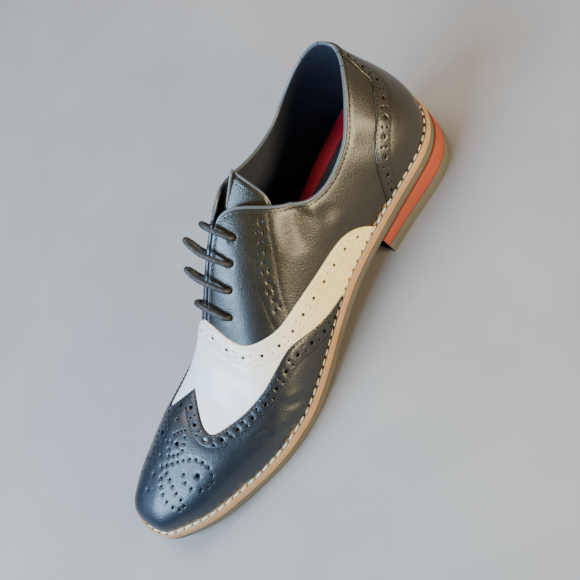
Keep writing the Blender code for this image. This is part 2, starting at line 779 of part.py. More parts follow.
def counter_outline():
    """Heel counter: up past the collar at the heel's back, and down to the feather edge on both sides."""
    angle = spline([(i, row[0]) for i, row in enumerate(COUNTER_EDGE)])
    height = spline([(i, row[1]) for i, row in enumerate(COUNTER_EDGE)])
    steps = np.linspace(0, len(COUNTER_EDGE) - 1, 3 * len(COUNTER_EDGE) - 2)
    lateral = list(zip(angle(steps), height(steps)))
    medial = [(-w, t) for w, t in lateral]
    foot = feather_run(lateral[-1][0], medial[-1][0])
    head = [(w, 1.0) for w in np.linspace(medial[0][0], lateral[0][0], 6)]
    return lateral + foot + medial[::-1] + head


def overlay(name, outline, flat, thickness, colour):
    """A panel cut from a shell on the upper's own grid, so that it lies against the upper."""
    panel = shell(name, GAP, GAP + thickness, colour)
    return boolean(panel, cutter(name + "_cut", outline, flat, -CUT_UNDER, CUT_OVER), "INTERSECT")


def eyelet_places():
    """Where the eyelets lie, from the throat up: (angle, lateral t, medial t)."""
    made = []
    for i in range(EYELET_COUNT):
        angle = float(angle_of(EYELET_TOP + EYELET_PITCH * (EYELET_COUNT - 1 - i)))
        lateral, medial = girth([angle, 2 - angle])
        made.append((angle, 1 - EYELET_LATERAL / lateral, 1 - EYELET_MEDIAL / medial))
    return made


def cut_eyelets(target):
    """Punches the eyelet holes through a piece, along the surface's normal."""
    work = bmesh.new()
    for angle, lateral, medial in eyelet_places():
        for w, t in ((angle, lateral), (2 - angle, medial)):
            centre = Vector(last_point([w], [t])[0])
            way = Vector(last_normal([w], [t])[0])
            punch = Matrix.Translation(centre) @ way.to_track_quat("Z", "Y").to_matrix().to_4x4()
            size = {"radius1": EYELET_RADIUS, "radius2": EYELET_RADIUS, "depth": 3 * LACE_DIAMETER}
            bmesh.ops.create_cone(work, cap_ends=True, segments=12, matrix=punch, **size)
    mesh = bpy.data.meshes.new("eyelet_cut")
    work.to_mesh(mesh)
    work.free()
    hole = bpy.data.objects.new("eyelet_cut", mesh)
    bpy.context.scene.collection.objects.link(hole)
    boolean(target, hole, "DIFFERENCE")


def tongue_depth(along):
    """How far the tongue's outer face lies under the last's surface."""
    share = smooth_step(THROAT + 0.75 * TONGUE_DEEPENS - along, 0, TONGUE_DEEPENS)
    return WALL + 3 * GAP + TONGUE_LACE_ROOM * share


def tongue_point(along, across, depth):
    """A point of the tongue: across is the girth from the ridge, past its bend it runs on straight."""
    foot = max(along, TONGUE_BEND)
    angle = float(angle_of(foot))
    w = angle if across >= 0 else 2 - angle
    t = 1 - abs(across) / float(girth([w])[0])
    normal = last_normal([w], [t])[0]
    if across == 0:
        normal = normal + last_normal([2 - angle], [t])[0]
        normal /= np.linalg.norm(normal)
    place = last_point([w], [t])[0] - normal * depth
    rise = float(ridge_height(foot) - ridge_height(foot + MM)) / MM
    return place + np.array([0, 1, rise]) * (foot - along)


def make_tongue():
    """Tongue under the facings, from its root under the vamp to its free top end."""
    rows, half = 16, 6
    alongs = np.linspace(TONGUE_TOP, TONGUE_ROOT, rows)
    across = 2 * half + 1
    points = []
    for thickness in (0.0, TONGUE):
        for along in alongs:
            depth = float(tongue_depth(along)) + thickness
            corner = 1 - TONGUE_ROUNDING * (1 - min(1.0, (along - TONGUE_TOP) / TONGUE_CORNER)) ** 2
            taper = 1 - TONGUE_TAPER * max(0.0, (along - THROAT) / (TONGUE_ROOT - THROAT))
            for step in range(-half, half + 1):
                reach = step / half * TONGUE_HALF_WIDTH * corner * taper
                points.append(tongue_point(along, reach, depth))
    size = rows * across
    faces = []
    for r in range(rows - 1):
        for c in range(across - 1):
            q = (r * across + c, r * across + c + 1, (r + 1) * across + c + 1, (r + 1) * across + c)
            faces += [q, tuple(i + size for i in reversed(q))]
    rim = list(range(across))
    rim += [r * across + across - 1 for r in range(1, rows)]
    rim += [(rows - 1) * across + c for c in range(across - 2, -1, -1)]
    rim += [r * across for r in range(rows - 2, 0, -1)]
    for i, j in zip(rim, rim[1:] + rim[:1]):
        faces.append((i, j, j + size, i + size))
    return closed_mesh("tongue", points, faces, "black_leather")


# Height of each bar's arch over the ridge, from the throat up
BAR_ARCH = (1.5 * MM, 3.0 * MM, 3.5 * MM, 2.0 * MM)

# One bar: share of the way from the ridge to its eyelet, lift in cord diameters, share of the arch
BAR = [
    (1.00, 0.00, 0.00),
    (0.97, 0.70, 0.00),
    (0.80, 0.84, 0.20),
    (0.55, 0.84, 0.62),
    (0.22, 0.84, 0.95),
]


def over_ridge(angle, across, height):
    """A point over the instep at a girth from the ridge, lateral side first, and a height off the last."""
    sides = [angle, 2 - angle] if across >= 0 else [2 - angle, angle]
    normals = last_normal(sides, [1 - abs(across) / float(girth(sides[:1])[0]), 1.0])
    blend = 0.5 * max(0.0, 1 - abs(across) / RIDGE_OFFSET)
    normal = normals[0] * (1 - blend) + normals[1] * blend
    place = last_point(sides[:1], [1 - abs(across) / float(girth(sides[:1])[0])])[0]
    return place + normal / np.linalg.norm(normal) * height


def lace_route():
    """Straight bars: over at each pair of eyelets, and up under alternate sides between them."""
    under = -(WALL + 3 * GAP + LACE_DIAMETER / 2)
    places = [along_of(angle) for angle, _, _ in eyelet_places()]
    route = []
    for i, (along, arch) in enumerate(zip(places, BAR_ARCH)):
        angle = float(angle_of(along))
        bar = [over_ridge(angle, EYELET_LATERAL, -WALL - 2 * GAP)]
        for reach, lift, share in BAR:
            bar.append(over_ridge(angle, EYELET_LATERAL * reach, LACE_DIAMETER * lift + arch * share))
        for reach, lift, share in BAR[::-1]:
            bar.append(over_ridge(angle, -EYELET_MEDIAL * reach, LACE_DIAMETER * lift + arch * share))
        bar.append(over_ridge(angle, -EYELET_MEDIAL, -WALL - 2 * GAP))
        route += bar[::-1] if i % 2 else bar
        side = EYELET_LATERAL if i % 2 else -EYELET_MEDIAL
        for share in (0.2, 0.5, 0.8):
            if i + 1 < len(places):
                between = along + (places[i + 1] - along) * share
                route.append(over_ridge(float(angle_of(between)), side, under))
    start, end = places[0] - EYELET_PITCH / 4, places[-1] - EYELET_PITCH / 4
    side = -EYELET_MEDIAL if len(places) % 2 else EYELET_LATERAL
    return (
        [over_ridge(float(angle_of(start)), EYELET_LATERAL, under)]
        + route
        + [over_ridge(float(angle_of(end)), side, under)]
    )


def smooth_path(points, spacing):
    """A curve through the points, sampled evenly."""
    points = np.array([tuple(p) for p in points])
    chord = np.r_[0, np.cumsum(np.sqrt(np.linalg.norm(np.diff(points, axis=0), axis=1)))]
    curves = [spline(list(zip(chord, points[:, k]))) for k in range(3)]
    fine = np.linspace(0, chord[-1], 1200)
    dense = np.stack([c(fine) for c in curves], -1)
    length = np.r_[0, np.cumsum(np.linalg.norm(np.diff(dense, axis=0), axis=1))]
    even = np.linspace(0, length[-1], int(length[-1] / spacing) + 1)
    return np.stack([np.interp(even, length, dense[:, k]) for k in range(3)], -1)


def make_lace():
    """The laced cord as one tube."""
    path = smooth_path(lace_route(), 0.7 * LACE_DIAMETER)
    curve = bpy.data.curves.new("lace", "CURVE")
    curve.dimensions = "3D"
    curve.bevel_depth = LACE_DIAMETER / 2
    curve.bevel_resolution = 2
    curve.use_fill_caps = True
    line = curve.splines.new("POLY")
    line.points.add(len(path) - 1)
    for point, place in zip(line.points, path):
        point.co = (*place, 1)
    curve.materials.append(material("lace_cord"))
    made = bpy.data.objects.new("lace", curve)
    bpy.context.scene.collection.objects.link(made)
    return made


def clear_scene():
    for old in list(bpy.data.objects):
        bpy.data.objects.remove(old)


def centre():
    """Moves every piece across, so that the origin lies under the middle of the whole shoe."""
    bpy.context.view_layer.update()
    corners = [made.matrix_world @ Vector(c) for made in bpy.data.objects for c in made.bound_box]
    across = [corner.x for corner in corners]
    for made in bpy.data.objects:
        made.data.transform(Matrix.Translation((-(min(across) + max(across)) / 2, 0, 0)))


def main():
    clear_scene()
    make_outsole()
    make_midsole()
    make_heel_lift()
    make_heel_top_piece()
    make_insole()
    upper = shell("upper", -WALL, 0.0, "black_leather")
    cut_eyelets(upper)
    overlay("wingtip", wing_outline(), chart, WINGTIP, "black_leather")
    overlay("vamp", vamp_outline(), chart, OVERLAY, "white_leather")
    overlay("counter", counter_outline(), heel_chart, OVERLAY, "black_leather")
    make_tongue()
    make_lace()
    centre()


if __name__ == "__main__":
    main()
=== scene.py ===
"""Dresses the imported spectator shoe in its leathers, stitching, laces and stitched welt.

The toe points along -Y, the lateral side along +X. A place round the shoe is w: 0 at the heel's
back, 1 at the toe's tip by the lateral side, 2 at the heel's back again by the medial side. A
place up the upper is t: 0 at the feather edge and 1 at the instep's ridge.
"""

import math

import bmesh
import bpy
import numpy as np
from mathutils import Matrix, Vector
from mathutils.geometry import delaunay_2d_cdt
from mathutils.kdtree import KDTree


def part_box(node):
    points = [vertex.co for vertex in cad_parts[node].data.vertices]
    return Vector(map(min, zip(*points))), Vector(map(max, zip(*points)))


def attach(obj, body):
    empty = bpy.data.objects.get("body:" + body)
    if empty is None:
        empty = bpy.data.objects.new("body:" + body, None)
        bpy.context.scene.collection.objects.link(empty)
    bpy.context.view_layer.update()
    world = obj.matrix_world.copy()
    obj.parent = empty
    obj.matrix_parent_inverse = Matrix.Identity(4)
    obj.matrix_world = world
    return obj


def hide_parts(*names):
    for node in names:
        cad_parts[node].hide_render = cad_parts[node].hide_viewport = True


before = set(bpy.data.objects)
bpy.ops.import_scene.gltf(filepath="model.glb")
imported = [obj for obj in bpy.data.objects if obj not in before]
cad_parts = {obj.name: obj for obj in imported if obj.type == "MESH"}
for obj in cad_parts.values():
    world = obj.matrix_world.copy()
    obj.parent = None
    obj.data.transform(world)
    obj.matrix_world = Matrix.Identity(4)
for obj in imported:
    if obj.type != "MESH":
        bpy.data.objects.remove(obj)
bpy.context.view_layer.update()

MM = 0.001

# Driving sizes
LENGTH = 305 * MM
HEEL_WIDTH = 71 * MM
WAIST_WIDTH = 67 * MM
BALL_WIDTH = 90 * MM
HEEL_HEIGHT = 21.5 * MM
TOE_SPRING = 10 * MM
OUTSOLE = 5.5 * MM
MIDSOLE = 5 * MM
INSTEP_HEIGHT = 76 * MM
TOE_BOX_HEIGHT = 33.5 * MM

# Clearance between pieces that touch
GAP = 0.3 * MM

# Sole
SOLE_HALF = LENGTH / 2
HEEL_BREAST = 86 * MM
HEEL_TOP_PIECE = 9 * MM
HEEL_TAPER = 1.5 * MM
BREAST_HOLLOW = 4 * MM
OUTSOLE_UNDERCUT = 0.8 * MM
WELT_INSET_TOE = 5.2 * MM
WELT_INSET_WAIST = 3.6 * MM
WELT_INSET_HEEL = 3.2 * MM

# Upper
WALL = 1.8 * MM
OVERLAY = 1.0 * MM
WINGTIP = 1.9 * MM
BULGE = 5 * MM
RIDGE_OFFSET = 9.5 * MM
POLE = 262 * MM
POLE_BLEND = 20 * MM
CONE_FRONT = 100 * MM
CONE_BACK = 13 * MM
CONE_LATERAL = 21 * MM
CONE_MEDIAL = 28 * MM
CONE_SQUARENESS = 0.8
CONE_HEIGHT = 76 * MM

# Lacing
EYELET_COUNT = 4
EYELET_TOP = 131.5 * MM
EYELET_PITCH = 12.8 * MM
EYELET_LATERAL = 19.5 * MM
EYELET_MEDIAL = 16 * MM
EYELET_HOLE = 2.25 * MM
LACE_DIAMETER = 3.2 * MM
THROAT = 0.59 * LENGTH

# Inside
INSOLE = 3 * MM
INSOLE_CLEARANCE = 0.5 * MM
TONGUE = 2 * MM
TONGUE_HALF_WIDTH = 24 * MM
TONGUE_TOP = 104 * MM
TONGUE_BEND = 128 * MM
TONGUE_ROOT = THROAT + 18 * MM
TONGUE_LACE_ROOM = 4.5 * MM
TONGUE_CORNER = 9 * MM
TONGUE_ROUNDING = 0.22
TONGUE_TAPER = 0.35
TONGUE_DEEPENS = 16 * MM

# Sole's edge: across as shares of half the width that the row follows
OUTLINE = [
    # heel-to-toe angle share, width that it follows, lateral, medial
    (0.00, "heel", 0.00, 0.00),
    (0.10, "heel", 0.68, -0.68),
    (0.20, "heel", 1.07, -0.96),
    (0.30, "heel", 1.04, -0.92),
    (0.40, "waist", 1.07, -0.85),
    (0.48, "waist", 1.15, -0.85),
    (0.56, "ball", 1.015, -0.77),
    (0.64, "ball", 1.02, -0.92),
    (0.72, "ball", 0.825, -0.895),
    (0.80, "ball", 0.61, -0.795),
    (0.88, "ball", 0.34, -0.625),
    (0.94, "ball", 0.135, -0.48),
    (1.00, "ball", -0.23, -0.23),
]

# Underside of the outsole from the side
SOLE_PROFILE = [
    # along, share of heel height, share of toe spring
    (0.000, 1.00, 0.00),
    (0.130, 0.965, 0.00),
    (0.256, 0.80, 0.00),
    (0.360, 0.685, 0.00),
    (0.490, 0.29, 0.00),
    (0.610, 0.04, 0.00),
    (0.660, -0.02, 0.00),
    (0.740, 0.00, -0.03),
    (0.800, 0.00, 0.07),
    (0.885, 0.00, 0.37),
    (0.950, 0.00, 0.70),
    (1.000, 0.00, 1.00),
]

# Ridge of the instep and toe from the side, above the feather edge
RIDGE_PROFILE = [
    # along, share of instep height, share of toe box height
    (0.290, 1.17, 0.00),
    (0.328, 1.135, 0.00),
    (0.410, 1.045, 0.00),
    (0.492, 0.92, 0.00),
    (0.607, 0.65, 0.00),
    (0.705, 0.00, 1.03),
    (0.787, 0.00, 0.96),
    (0.859, 0.00, 0.76),
    (1.000, 0.00, 0.30),
]

# How far the ridge stands to the medial side, as a share of RIDGE_OFFSET
RIDGE_SWING = [(0.328, 0.60), (0.492, 0.82), (0.656, 0.79), (0.859, 0.92)]

# Shape of the sections, lateral and medial in pairs
SECTIONS = [
    # angle, wall rise lateral, medial, bulge lateral, medial, crown reach lateral, medial, crown drop
    (0.00, 0.34, 0.34, 1.50, 1.50, -0.10, -0.10, 0.36),
    (0.12, 0.34, 0.34, 1.35, 1.30, -0.10, -0.10, 0.36),
    (0.25, 0.34, 0.38, 1.15, 1.20, 0.10, 0.20, 0.30),
    (0.38, 0.40, 0.50, 1.00, 1.30, 0.42, 0.62, 0.08),
    (0.50, 0.48, 0.50, 1.00, 1.20, 0.50, 0.55, 0.00),
    (0.62, 0.55, 0.50, 0.90, 0.95, 0.52, 0.49, 0.00),
    (0.74, 0.60, 0.54, 0.70, 0.70, 0.54, 0.50, 0.00),
    (0.86, 0.63, 0.58, 0.50, 0.50, 0.56, 0.53, 0.00),
    (1.00, 0.63, 0.63, 0.40, 0.40, 0.56, 0.56, 0.00),
]

# Opening's edge: drop below the ridge or the cone's rim, as a share of CONE_HEIGHT
OPENING = [
    # angle, lateral drop, medial drop
    (0.000, 0.100, 0.100),
    (0.060, 0.150, 0.150),
    (0.100, 0.210, 0.215),
    (0.140, 0.290, 0.295),
    (0.180, 0.375, 0.375),
    (0.220, 0.465, 0.445),
    (0.270, 0.566, 0.510),
    (0.330, 0.668, 0.530),
    (0.362, 0.675, 0.495),
    (0.385, 0.635, 0.430),
    (0.400, 0.550, 0.345),
    (0.413, 0.400, 0.240),
    (0.425, 0.240, 0.150),
    (0.435, 0.130, 0.090),
    (0.445, 0.065, 0.055),
    (0.460, 0.046, 0.046),
    (0.500, 0.040, 0.040),
    (1.000, 0.040, 0.040),
]
FACING_START = 0.455
FACING_GAP_TOP = 3.5 * MM
FACING_GAP_THROAT = 2.5 * MM

# Overlay edges: along as a share of LENGTH, distance from the ridge as a share of the section's girth
WING_EDGE = [
    # along, girth share
    (0.704, 0.000),
    (0.722, 0.070),
    (0.742, 0.160),
    (0.759, 0.255),
    (0.763, 0.345),
    (0.746, 0.395),
    (0.716, 0.445),
    (0.657, 0.535),
    (0.590, 0.620),
    (0.541, 0.700),
    (0.487, 0.850),
    (0.440, 0.945),
    (0.405, 1.000),
    (0.390, 1.060),
]
VAMP_EDGE = [
    (0.583, 0.000),
    (0.586, 0.100),
    (0.590, 0.190),
    (0.591, 0.280),
    (0.584, 0.385),
    (0.562, 0.490),
    (0.530, 0.590),
    (0.490, 0.660),
    (0.440, 0.727),
    (0.388, 0.778),
    (0.340, 0.810),
    (0.308, 0.845),
    (0.288, 0.900),
    (0.274, 0.980),
    (0.268, 1.060),
]
COUNTER_EDGE = [
    # angle round the heel, place up the section
    (0.056, 0.840),
    (0.062, 0.745),
    (0.080, 0.650),
    (0.095, 0.570),
    (0.130, 0.522),
    (0.170, 0.470),
    (0.216, 0.405),
    (0.262, 0.290),
    (0.286, 0.190),
    (0.302, 0.085),
    (0.311, 0.000),
    (0.315, -0.060),
]


def spline(points):
    """Natural cubic spline through (x, y) rows, straight beyond its ends."""
    xs, ys = np.array(points, float).T
    count, step = len(xs), np.diff(xs)
    matrix, right = np.eye(count), np.zeros(count)
    for i in range(1, count - 1):
        matrix[i, i - 1 : i + 2] = step[i - 1], 2 * (step[i - 1] + step[i]), step[i]
        right[i] = 6 * ((ys[i + 1] - ys[i]) / step[i] - (ys[i] - ys[i - 1]) / step[i - 1])
    bend = np.linalg.solve(matrix, right)

    def value(x):
        x = np.asarray(x, float)
        i = np.clip(np.searchsorted(xs, x) - 1, 0, count - 2)
        h, before, after = step[i], x - xs[i], xs[i + 1] - x
        inside = np.clip(x, xs[0], xs[-1])
        before, after = np.clip(before, 0, h), np.clip(after, 0, h)
        curve = (bend[i] * after**3 + bend[i + 1] * before**3) / (6 * h)
        line = (ys[i] / h - bend[i] * h / 6) * after + (ys[i + 1] / h - bend[i + 1] * h / 6) * before
        low = (ys[1] - ys[0]) / step[0] - step[0] * bend[1] / 6
        high = (ys[-1] - ys[-2]) / step[-1] + step[-1] * bend[-2] / 6
        return curve + line + np.where(x < inside, low, high) * (x - inside)

    return value


def round_spline(angles, lateral, medial):
    """Spline round the shoe in w, from shares given up each side."""
    angles = list(angles)
    ws = angles + [2 - a for a in angles[-2::-1]]
    values = list(lateral) + list(medial)[-2::-1]
    before = [(w - 2, v) for w, v in zip(ws[-4:-1], values[-4:-1])]
    after = [(w + 2, v) for w, v in zip(ws[1:4], values[1:4])]
    return spline(before + list(zip(ws, values)) + after)


def side_angle(w):
    """Heel-to-toe angle share of a place round the shoe, the same for both sides."""
    w = np.mod(w, 2)
    return np.where(w > 1, 2 - w, w)


def along_of(angle):
    """Distance from the heel's back to a heel-to-toe angle share."""
    return LENGTH * (1 - np.cos(np.pi * angle)) / 2


def angle_of(along):
    """Heel-to-toe angle share at a distance from the heel's back."""
    return np.arccos(np.clip(1 - 2 * np.asarray(along, float) / LENGTH, -1, 1)) / np.pi


def smooth_step(x, low, high):
    share = np.clip((x - low) / (high - low), 0, 1)
    return share * share * (3 - 2 * share)


WIDTHS = {"heel": HEEL_WIDTH / 2, "waist": WAIST_WIDTH / 2, "ball": BALL_WIDTH / 2}
edge_across = round_spline(
    [row[0] for row in OUTLINE],
    [row[2] * WIDTHS[row[1]] for row in OUTLINE],
    [row[3] * WIDTHS[row[1]] for row in OUTLINE],
)
profile_height = spline([(a * LENGTH, h * HEEL_HEIGHT + t * TOE_SPRING) for a, h, t in SOLE_PROFILE])
ridge_above = spline([(a * LENGTH, i * INSTEP_HEIGHT + t * TOE_BOX_HEIGHT) for a, i, t in RIDGE_PROFILE])
ridge_across = spline([(a * LENGTH, -share * RIDGE_OFFSET) for a, share in RIDGE_SWING])
welt_inset = round_spline(
    (0.0, 0.25, 0.5, 0.75, 1.0),
    (WELT_INSET_HEEL, WELT_INSET_HEEL, WELT_INSET_WAIST, WELT_INSET_TOE, WELT_INSET_TOE),
    (WELT_INSET_HEEL, WELT_INSET_HEEL, WELT_INSET_WAIST, WELT_INSET_TOE, WELT_INSET_TOE),
)
SECTION_ANGLES = [row[0] for row in SECTIONS]
wall_rise, wall_bulge, crown_reach, crown_drop = (
    round_spline(SECTION_ANGLES, [row[i] for row in SECTIONS], [row[j] for row in SECTIONS])
    for i, j in ((1, 2), (3, 4), (5, 6), (7, 7))
)


def sole_edge(w, inset=0.0):
    """Along and across of the sole's edge at w, moved in by inset."""
    w = np.asarray(w, float)
    step = 1e-4
    a0, x0 = along_of(w - step), edge_across(np.mod(w - step, 2))
    a1, x1 = along_of(w + step), edge_across(np.mod(w + step, 2))
    run = np.hypot(a1 - a0, x1 - x0)
    out_along, out_across = -(x1 - x0) / run, (a1 - a0) / run
    along, across = along_of(w), edge_across(np.mod(w, 2))
    return along - out_along * inset, across - out_across * inset, out_along, out_across


def sole_bottom(along):
    """Height of the outsole's underside, flat on the floor under the ball."""
    return np.maximum(profile_height(along), 0.0)


def welt_top(along):
    return sole_bottom(along) + OUTSOLE + GAP + MIDSOLE


def ridge_height(along):
    return welt_top(along) + ridge_above(along)


CONE_ANGLE = float(angle_of(CONE_FRONT))
CONE_END = 0.05


def rib_top(w):
    """Upper end of the rib at w: on the ridge, or on the rim of the last's cone."""
    angle, side = side_angle(w), np.where(np.mod(w, 2) > 1, -1.0, 1.0)
    foot = along_of(angle)
    share = np.clip(0.5 + (POLE - foot) / (2 * POLE_BLEND), 0, 1)
    on_ridge = POLE * (1 - share) + foot * share - POLE_BLEND * share * (1 - share)
    round_cone = np.clip(angle / CONE_ANGLE, 0, 1)
    middle, half = (CONE_FRONT + CONE_BACK) / 2, (CONE_FRONT - CONE_BACK) / 2
    on_cone = middle - half * np.cos(np.pi * round_cone)
    half_width = np.where(side > 0, CONE_LATERAL, -CONE_MEDIAL)
    oval = np.maximum(np.sin(np.pi * round_cone), 0.0) ** CONE_SQUARENESS
    cone_across = half_width * oval + ridge_across(CONE_FRONT) * round_cone
    inside = angle < CONE_ANGLE
    along = np.where(inside, on_cone, on_ridge)
    across = np.where(inside, cone_across, ridge_across(on_ridge))
    rim = welt_top(0.0) + CONE_HEIGHT
    front = ridge_height(CONE_FRONT)
    cone_rim = rim + (front - rim) * smooth_step(round_cone, 0.5, 1.0)
    return along, across, np.where(inside, cone_rim, ridge_height(on_ridge))


def rib(w):
    """The four control points of the Bezier rib at each w: feather, wall, crown and top."""
    w = np.atleast_1d(np.asarray(w, float))
    foot_along, foot_across, out_along, out_across = sole_edge(w, welt_inset(np.mod(w, 2)))
    foot_height = welt_top(foot_along) + GAP
    top_along, top_across, top_height = rib_top(w)
    rise = top_height - foot_height
    wrapped = np.mod(w, 2)
    bulge = BULGE * wall_bulge(wrapped)
    reach = crown_reach(wrapped)
    slope = (ridge_height(top_along + MM) - ridge_height(top_along - MM)) / (2 * MM)
    slope = slope * smooth_step(side_angle(w), CONE_ANGLE, CONE_ANGLE + 2 * CONE_END)
    back = (foot_along - top_along) * reach
    drop = np.maximum(crown_drop(wrapped), 0) * rise
    feather = np.stack([foot_across, foot_along, foot_height], -1)
    wall = feather + np.stack([out_across * bulge, out_along * bulge, wall_rise(wrapped) * rise], -1)
    top = np.stack([top_across, top_along, top_height], -1)
    crown = top + np.stack([(foot_across - top_across) * reach, back, slope * back - drop], -1)
    return np.stack([feather, wall, crown, top], 1)


def bezier_shares(t):
    """What each control point adds at t."""
    return np.stack([(1 - t) ** 3, 3 * t * (1 - t) ** 2, 3 * t * t * (1 - t), t**3], -1)


def last_point(w, t):
    """Points of the last's surface, in metres, for matching arrays of w and t."""
    point = np.einsum("nk,nkd->nd", bezier_shares(np.asarray(t, float)), rib(w))
    point[:, 1] = SOLE_HALF - point[:, 1]
    return point


def girth(w):
    """Length of the rib at each w."""
    points = np.einsum("sk,nkd->snd", bezier_shares(np.linspace(0, 1, 25)), rib(w))
    return np.linalg.norm(np.diff(points, axis=0), axis=2).sum(0)


THROAT_ANGLE = float(angle_of(THROAT))
CLOSED_FROM = THROAT_ANGLE - 1e-6
opening_drop = round_spline(
    [row[0] for row in OPENING],
    [row[1] * CONE_HEIGHT for row in OPENING],
    [row[2] * CONE_HEIGHT for row in OPENING],
)


def opening(w):
    """How far up the rib the upper's edge lies: 1 where it is closed over the ridge."""
    angle = side_angle(w)
    wrapped = np.mod(np.asarray(w, float), 2)
    run = np.clip((angle - FACING_START) / (THROAT_ANGLE - FACING_START), 0, 1)
    gap = FACING_GAP_TOP + (FACING_GAP_THROAT - FACING_GAP_TOP) * run
    drop = np.where(angle < FACING_START, opening_drop(wrapped), gap)
    return np.where(angle >= CLOSED_FROM, 1.0, 1 - drop / girth(w))


def chart(w, t):
    """Flat pattern of the upper: across is the girth from the ridge, along runs heel to toe."""
    control = rib(w)
    spread = control[:, 0, :2] - control[:, 3, :2]
    angle = side_angle(w)
    side = np.where(np.mod(w, 2) > 1, -1.0, 1.0)
    straight = np.stack([side, np.zeros(len(w))], -1)
    ahead = smooth_step(angle, 0.5, 0.62)[:, None]
    spread[:, 1] = np.maximum(spread[:, 1], 0)
    direction = straight * (1 - ahead) + spread / np.linalg.norm(spread, axis=1)[:, None] * ahead
    direction /= np.linalg.norm(direction, axis=1)[:, None]
    start = np.where(angle < CONE_ANGLE + CONE_END, along_of(angle), control[:, 3, 1])
    reach = ((1 - np.asarray(t)) * girth(w))[:, None]
    return np.stack([np.zeros(len(w)), start], -1) + direction * reach


def inside(points, outline):
    """Which points lie in a closed outline."""
    x, y = points[:, 0][:, None], points[:, 1][:, None]
    x0, y0 = outline.T
    x1, y1 = np.roll(x0, -1), np.roll(y0, -1)
    crosses = (y0 > y) != (y1 > y)
    at = (x1 - x0) * (y - y0) / np.where(y1 == y0, 1e-12, y1 - y0) + x0
    return (crosses & (x < at)).sum(1) % 2 == 1


def eyelet_places():
    """Where the eyelets lie, from the throat up: (angle, lateral t, medial t)."""
    made = []
    for i in range(EYELET_COUNT):
        angle = float(angle_of(EYELET_TOP + EYELET_PITCH * (EYELET_COUNT - 1 - i)))
        lateral, medial = girth([angle, 2 - angle])
        made.append((angle, 1 - EYELET_LATERAL / lateral, 1 - EYELET_MEDIAL / medial))
    return made


def tongue_depth(along):
    """How far the tongue's outer face lies under the last's surface."""
    share = smooth_step(THROAT + 0.75 * TONGUE_DEEPENS - along, 0, TONGUE_DEEPENS)
    return WALL + 3 * GAP + TONGUE_LACE_ROOM * share


# Height of each bar's arch over the ridge, from the throat up
BAR_ARCH = (1.5 * MM, 3.0 * MM, 3.5 * MM, 2.0 * MM)

# One bar: share of the way from the ridge to its eyelet, lift in cord diameters, share of the arch
BAR = [
    (1.00, 0.00, 0.00),
    (0.97, 0.70, 0.00),
    (0.80, 0.84, 0.20),
    (0.55, 0.84, 0.62),
    (0.22, 0.84, 0.95),
]


def smooth_path(points, spacing):
    """A curve through the points, sampled evenly."""
    points = np.array([tuple(p) for p in points])
    chord = np.r_[0, np.cumsum(np.sqrt(np.linalg.norm(np.diff(points, axis=0), axis=1)))]
    curves = [spline(list(zip(chord, points[:, k]))) for k in range(3)]
    fine = np.linspace(0, chord[-1], 1200)
    dense = np.stack([c(fine) for c in curves], -1)
    length = np.r_[0, np.cumsum(np.linalg.norm(np.diff(dense, axis=0), axis=1))]
    even = np.linspace(0, length[-1], int(length[-1] / spacing) + 1)
    return np.stack([np.interp(even, length, dense[:, k]) for k in range(3)], -1)


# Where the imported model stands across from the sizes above
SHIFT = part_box("outsole")[1][0] - float(edge_across(np.linspace(0.2, 0.8, 2001)).max())

# Creases in mm: start, end, depth and width. The girth is negative on the medial side.
CREASES = [
    # along, girth from the ridge, along, girth from the ridge, depth, width
    (227, 42, 211, 53, 0.8, 2.3),
    (198, 55, 183, 76, 0.8, 2.4),
    (220, 60, 203, 71, 0.9, 5.0),
    (212, 66, 192, 84, 0.7, 4.0),
    (242, 74, 254, 50, 0.7, 3.0),
    (249, 70, 264, 58, 0.5, 2.4),
    (205, 40, 196, 12, 0.4, 5.0),
    (212, -74, 222, -46, 1.0, 4.5),
    (236, -66, 244, -44, 0.8, 3.2),
    (196, -60, 184, -78, 0.8, 4.0),
    (120, 62, 98, 46, 0.9, 7.0),
    (122, -62, 98, -48, 0.8, 7.0),
    (100, 66, 84, 60, 0.6, 5.0),
    (38, 66, 34, 40, 0.6, 6.0),
]

# How far a crease is felt, and the height and place of its lips, as shares of its depth and width
CREASE_REACH = 50 * MM
CREASE_LIP = 0.55
CREASE_LIP_PLACE = 1.9

# Ahead of this angle the ribs run close together on the toe, so normals are taken no higher than this
POLE_ANGLE = float(angle_of(POLE - POLE_BLEND))
POLE_SHARE = 0.93


def fold(w, t):
    """Carries a place past the ridge over to the other side, ahead of the throat."""
    w, t = np.mod(np.asarray(w, float), 2), np.asarray(t, float)
    over = (t > 1) & (side_angle(w) >= THROAT_ANGLE)
    return np.where(over, 2 - w, w), np.where(over, 2 - t, t)


def surface(w, t):
    """Points of the last and its unit normals, past the ridge too."""
    w, t = np.asarray(w, float), np.asarray(t, float)
    step = 1e-3
    point = last_point(*fold(w, t))
    at_pole = side_angle(w) > POLE_ANGLE
    level = np.where(at_pole, np.clip(t, 0, POLE_SHARE), t)
    round_way = last_point(*fold(w + step, level)) - last_point(*fold(w - step, level))
    up_way = last_point(*fold(w, level + step)) - last_point(*fold(w, level - step))
    normal = np.cross(up_way, round_way)
    return point, normal / np.linalg.norm(normal, axis=1)[:, None]


# Places that a flat pattern is searched from, and the step that its slopes are taken over
ROUND_PLACES = 421
UP_PLACES = 56
NUDGE = 1e-5

# Holes up to this radius have fewer corners
SMALL_HOLE = 0.8 * MM


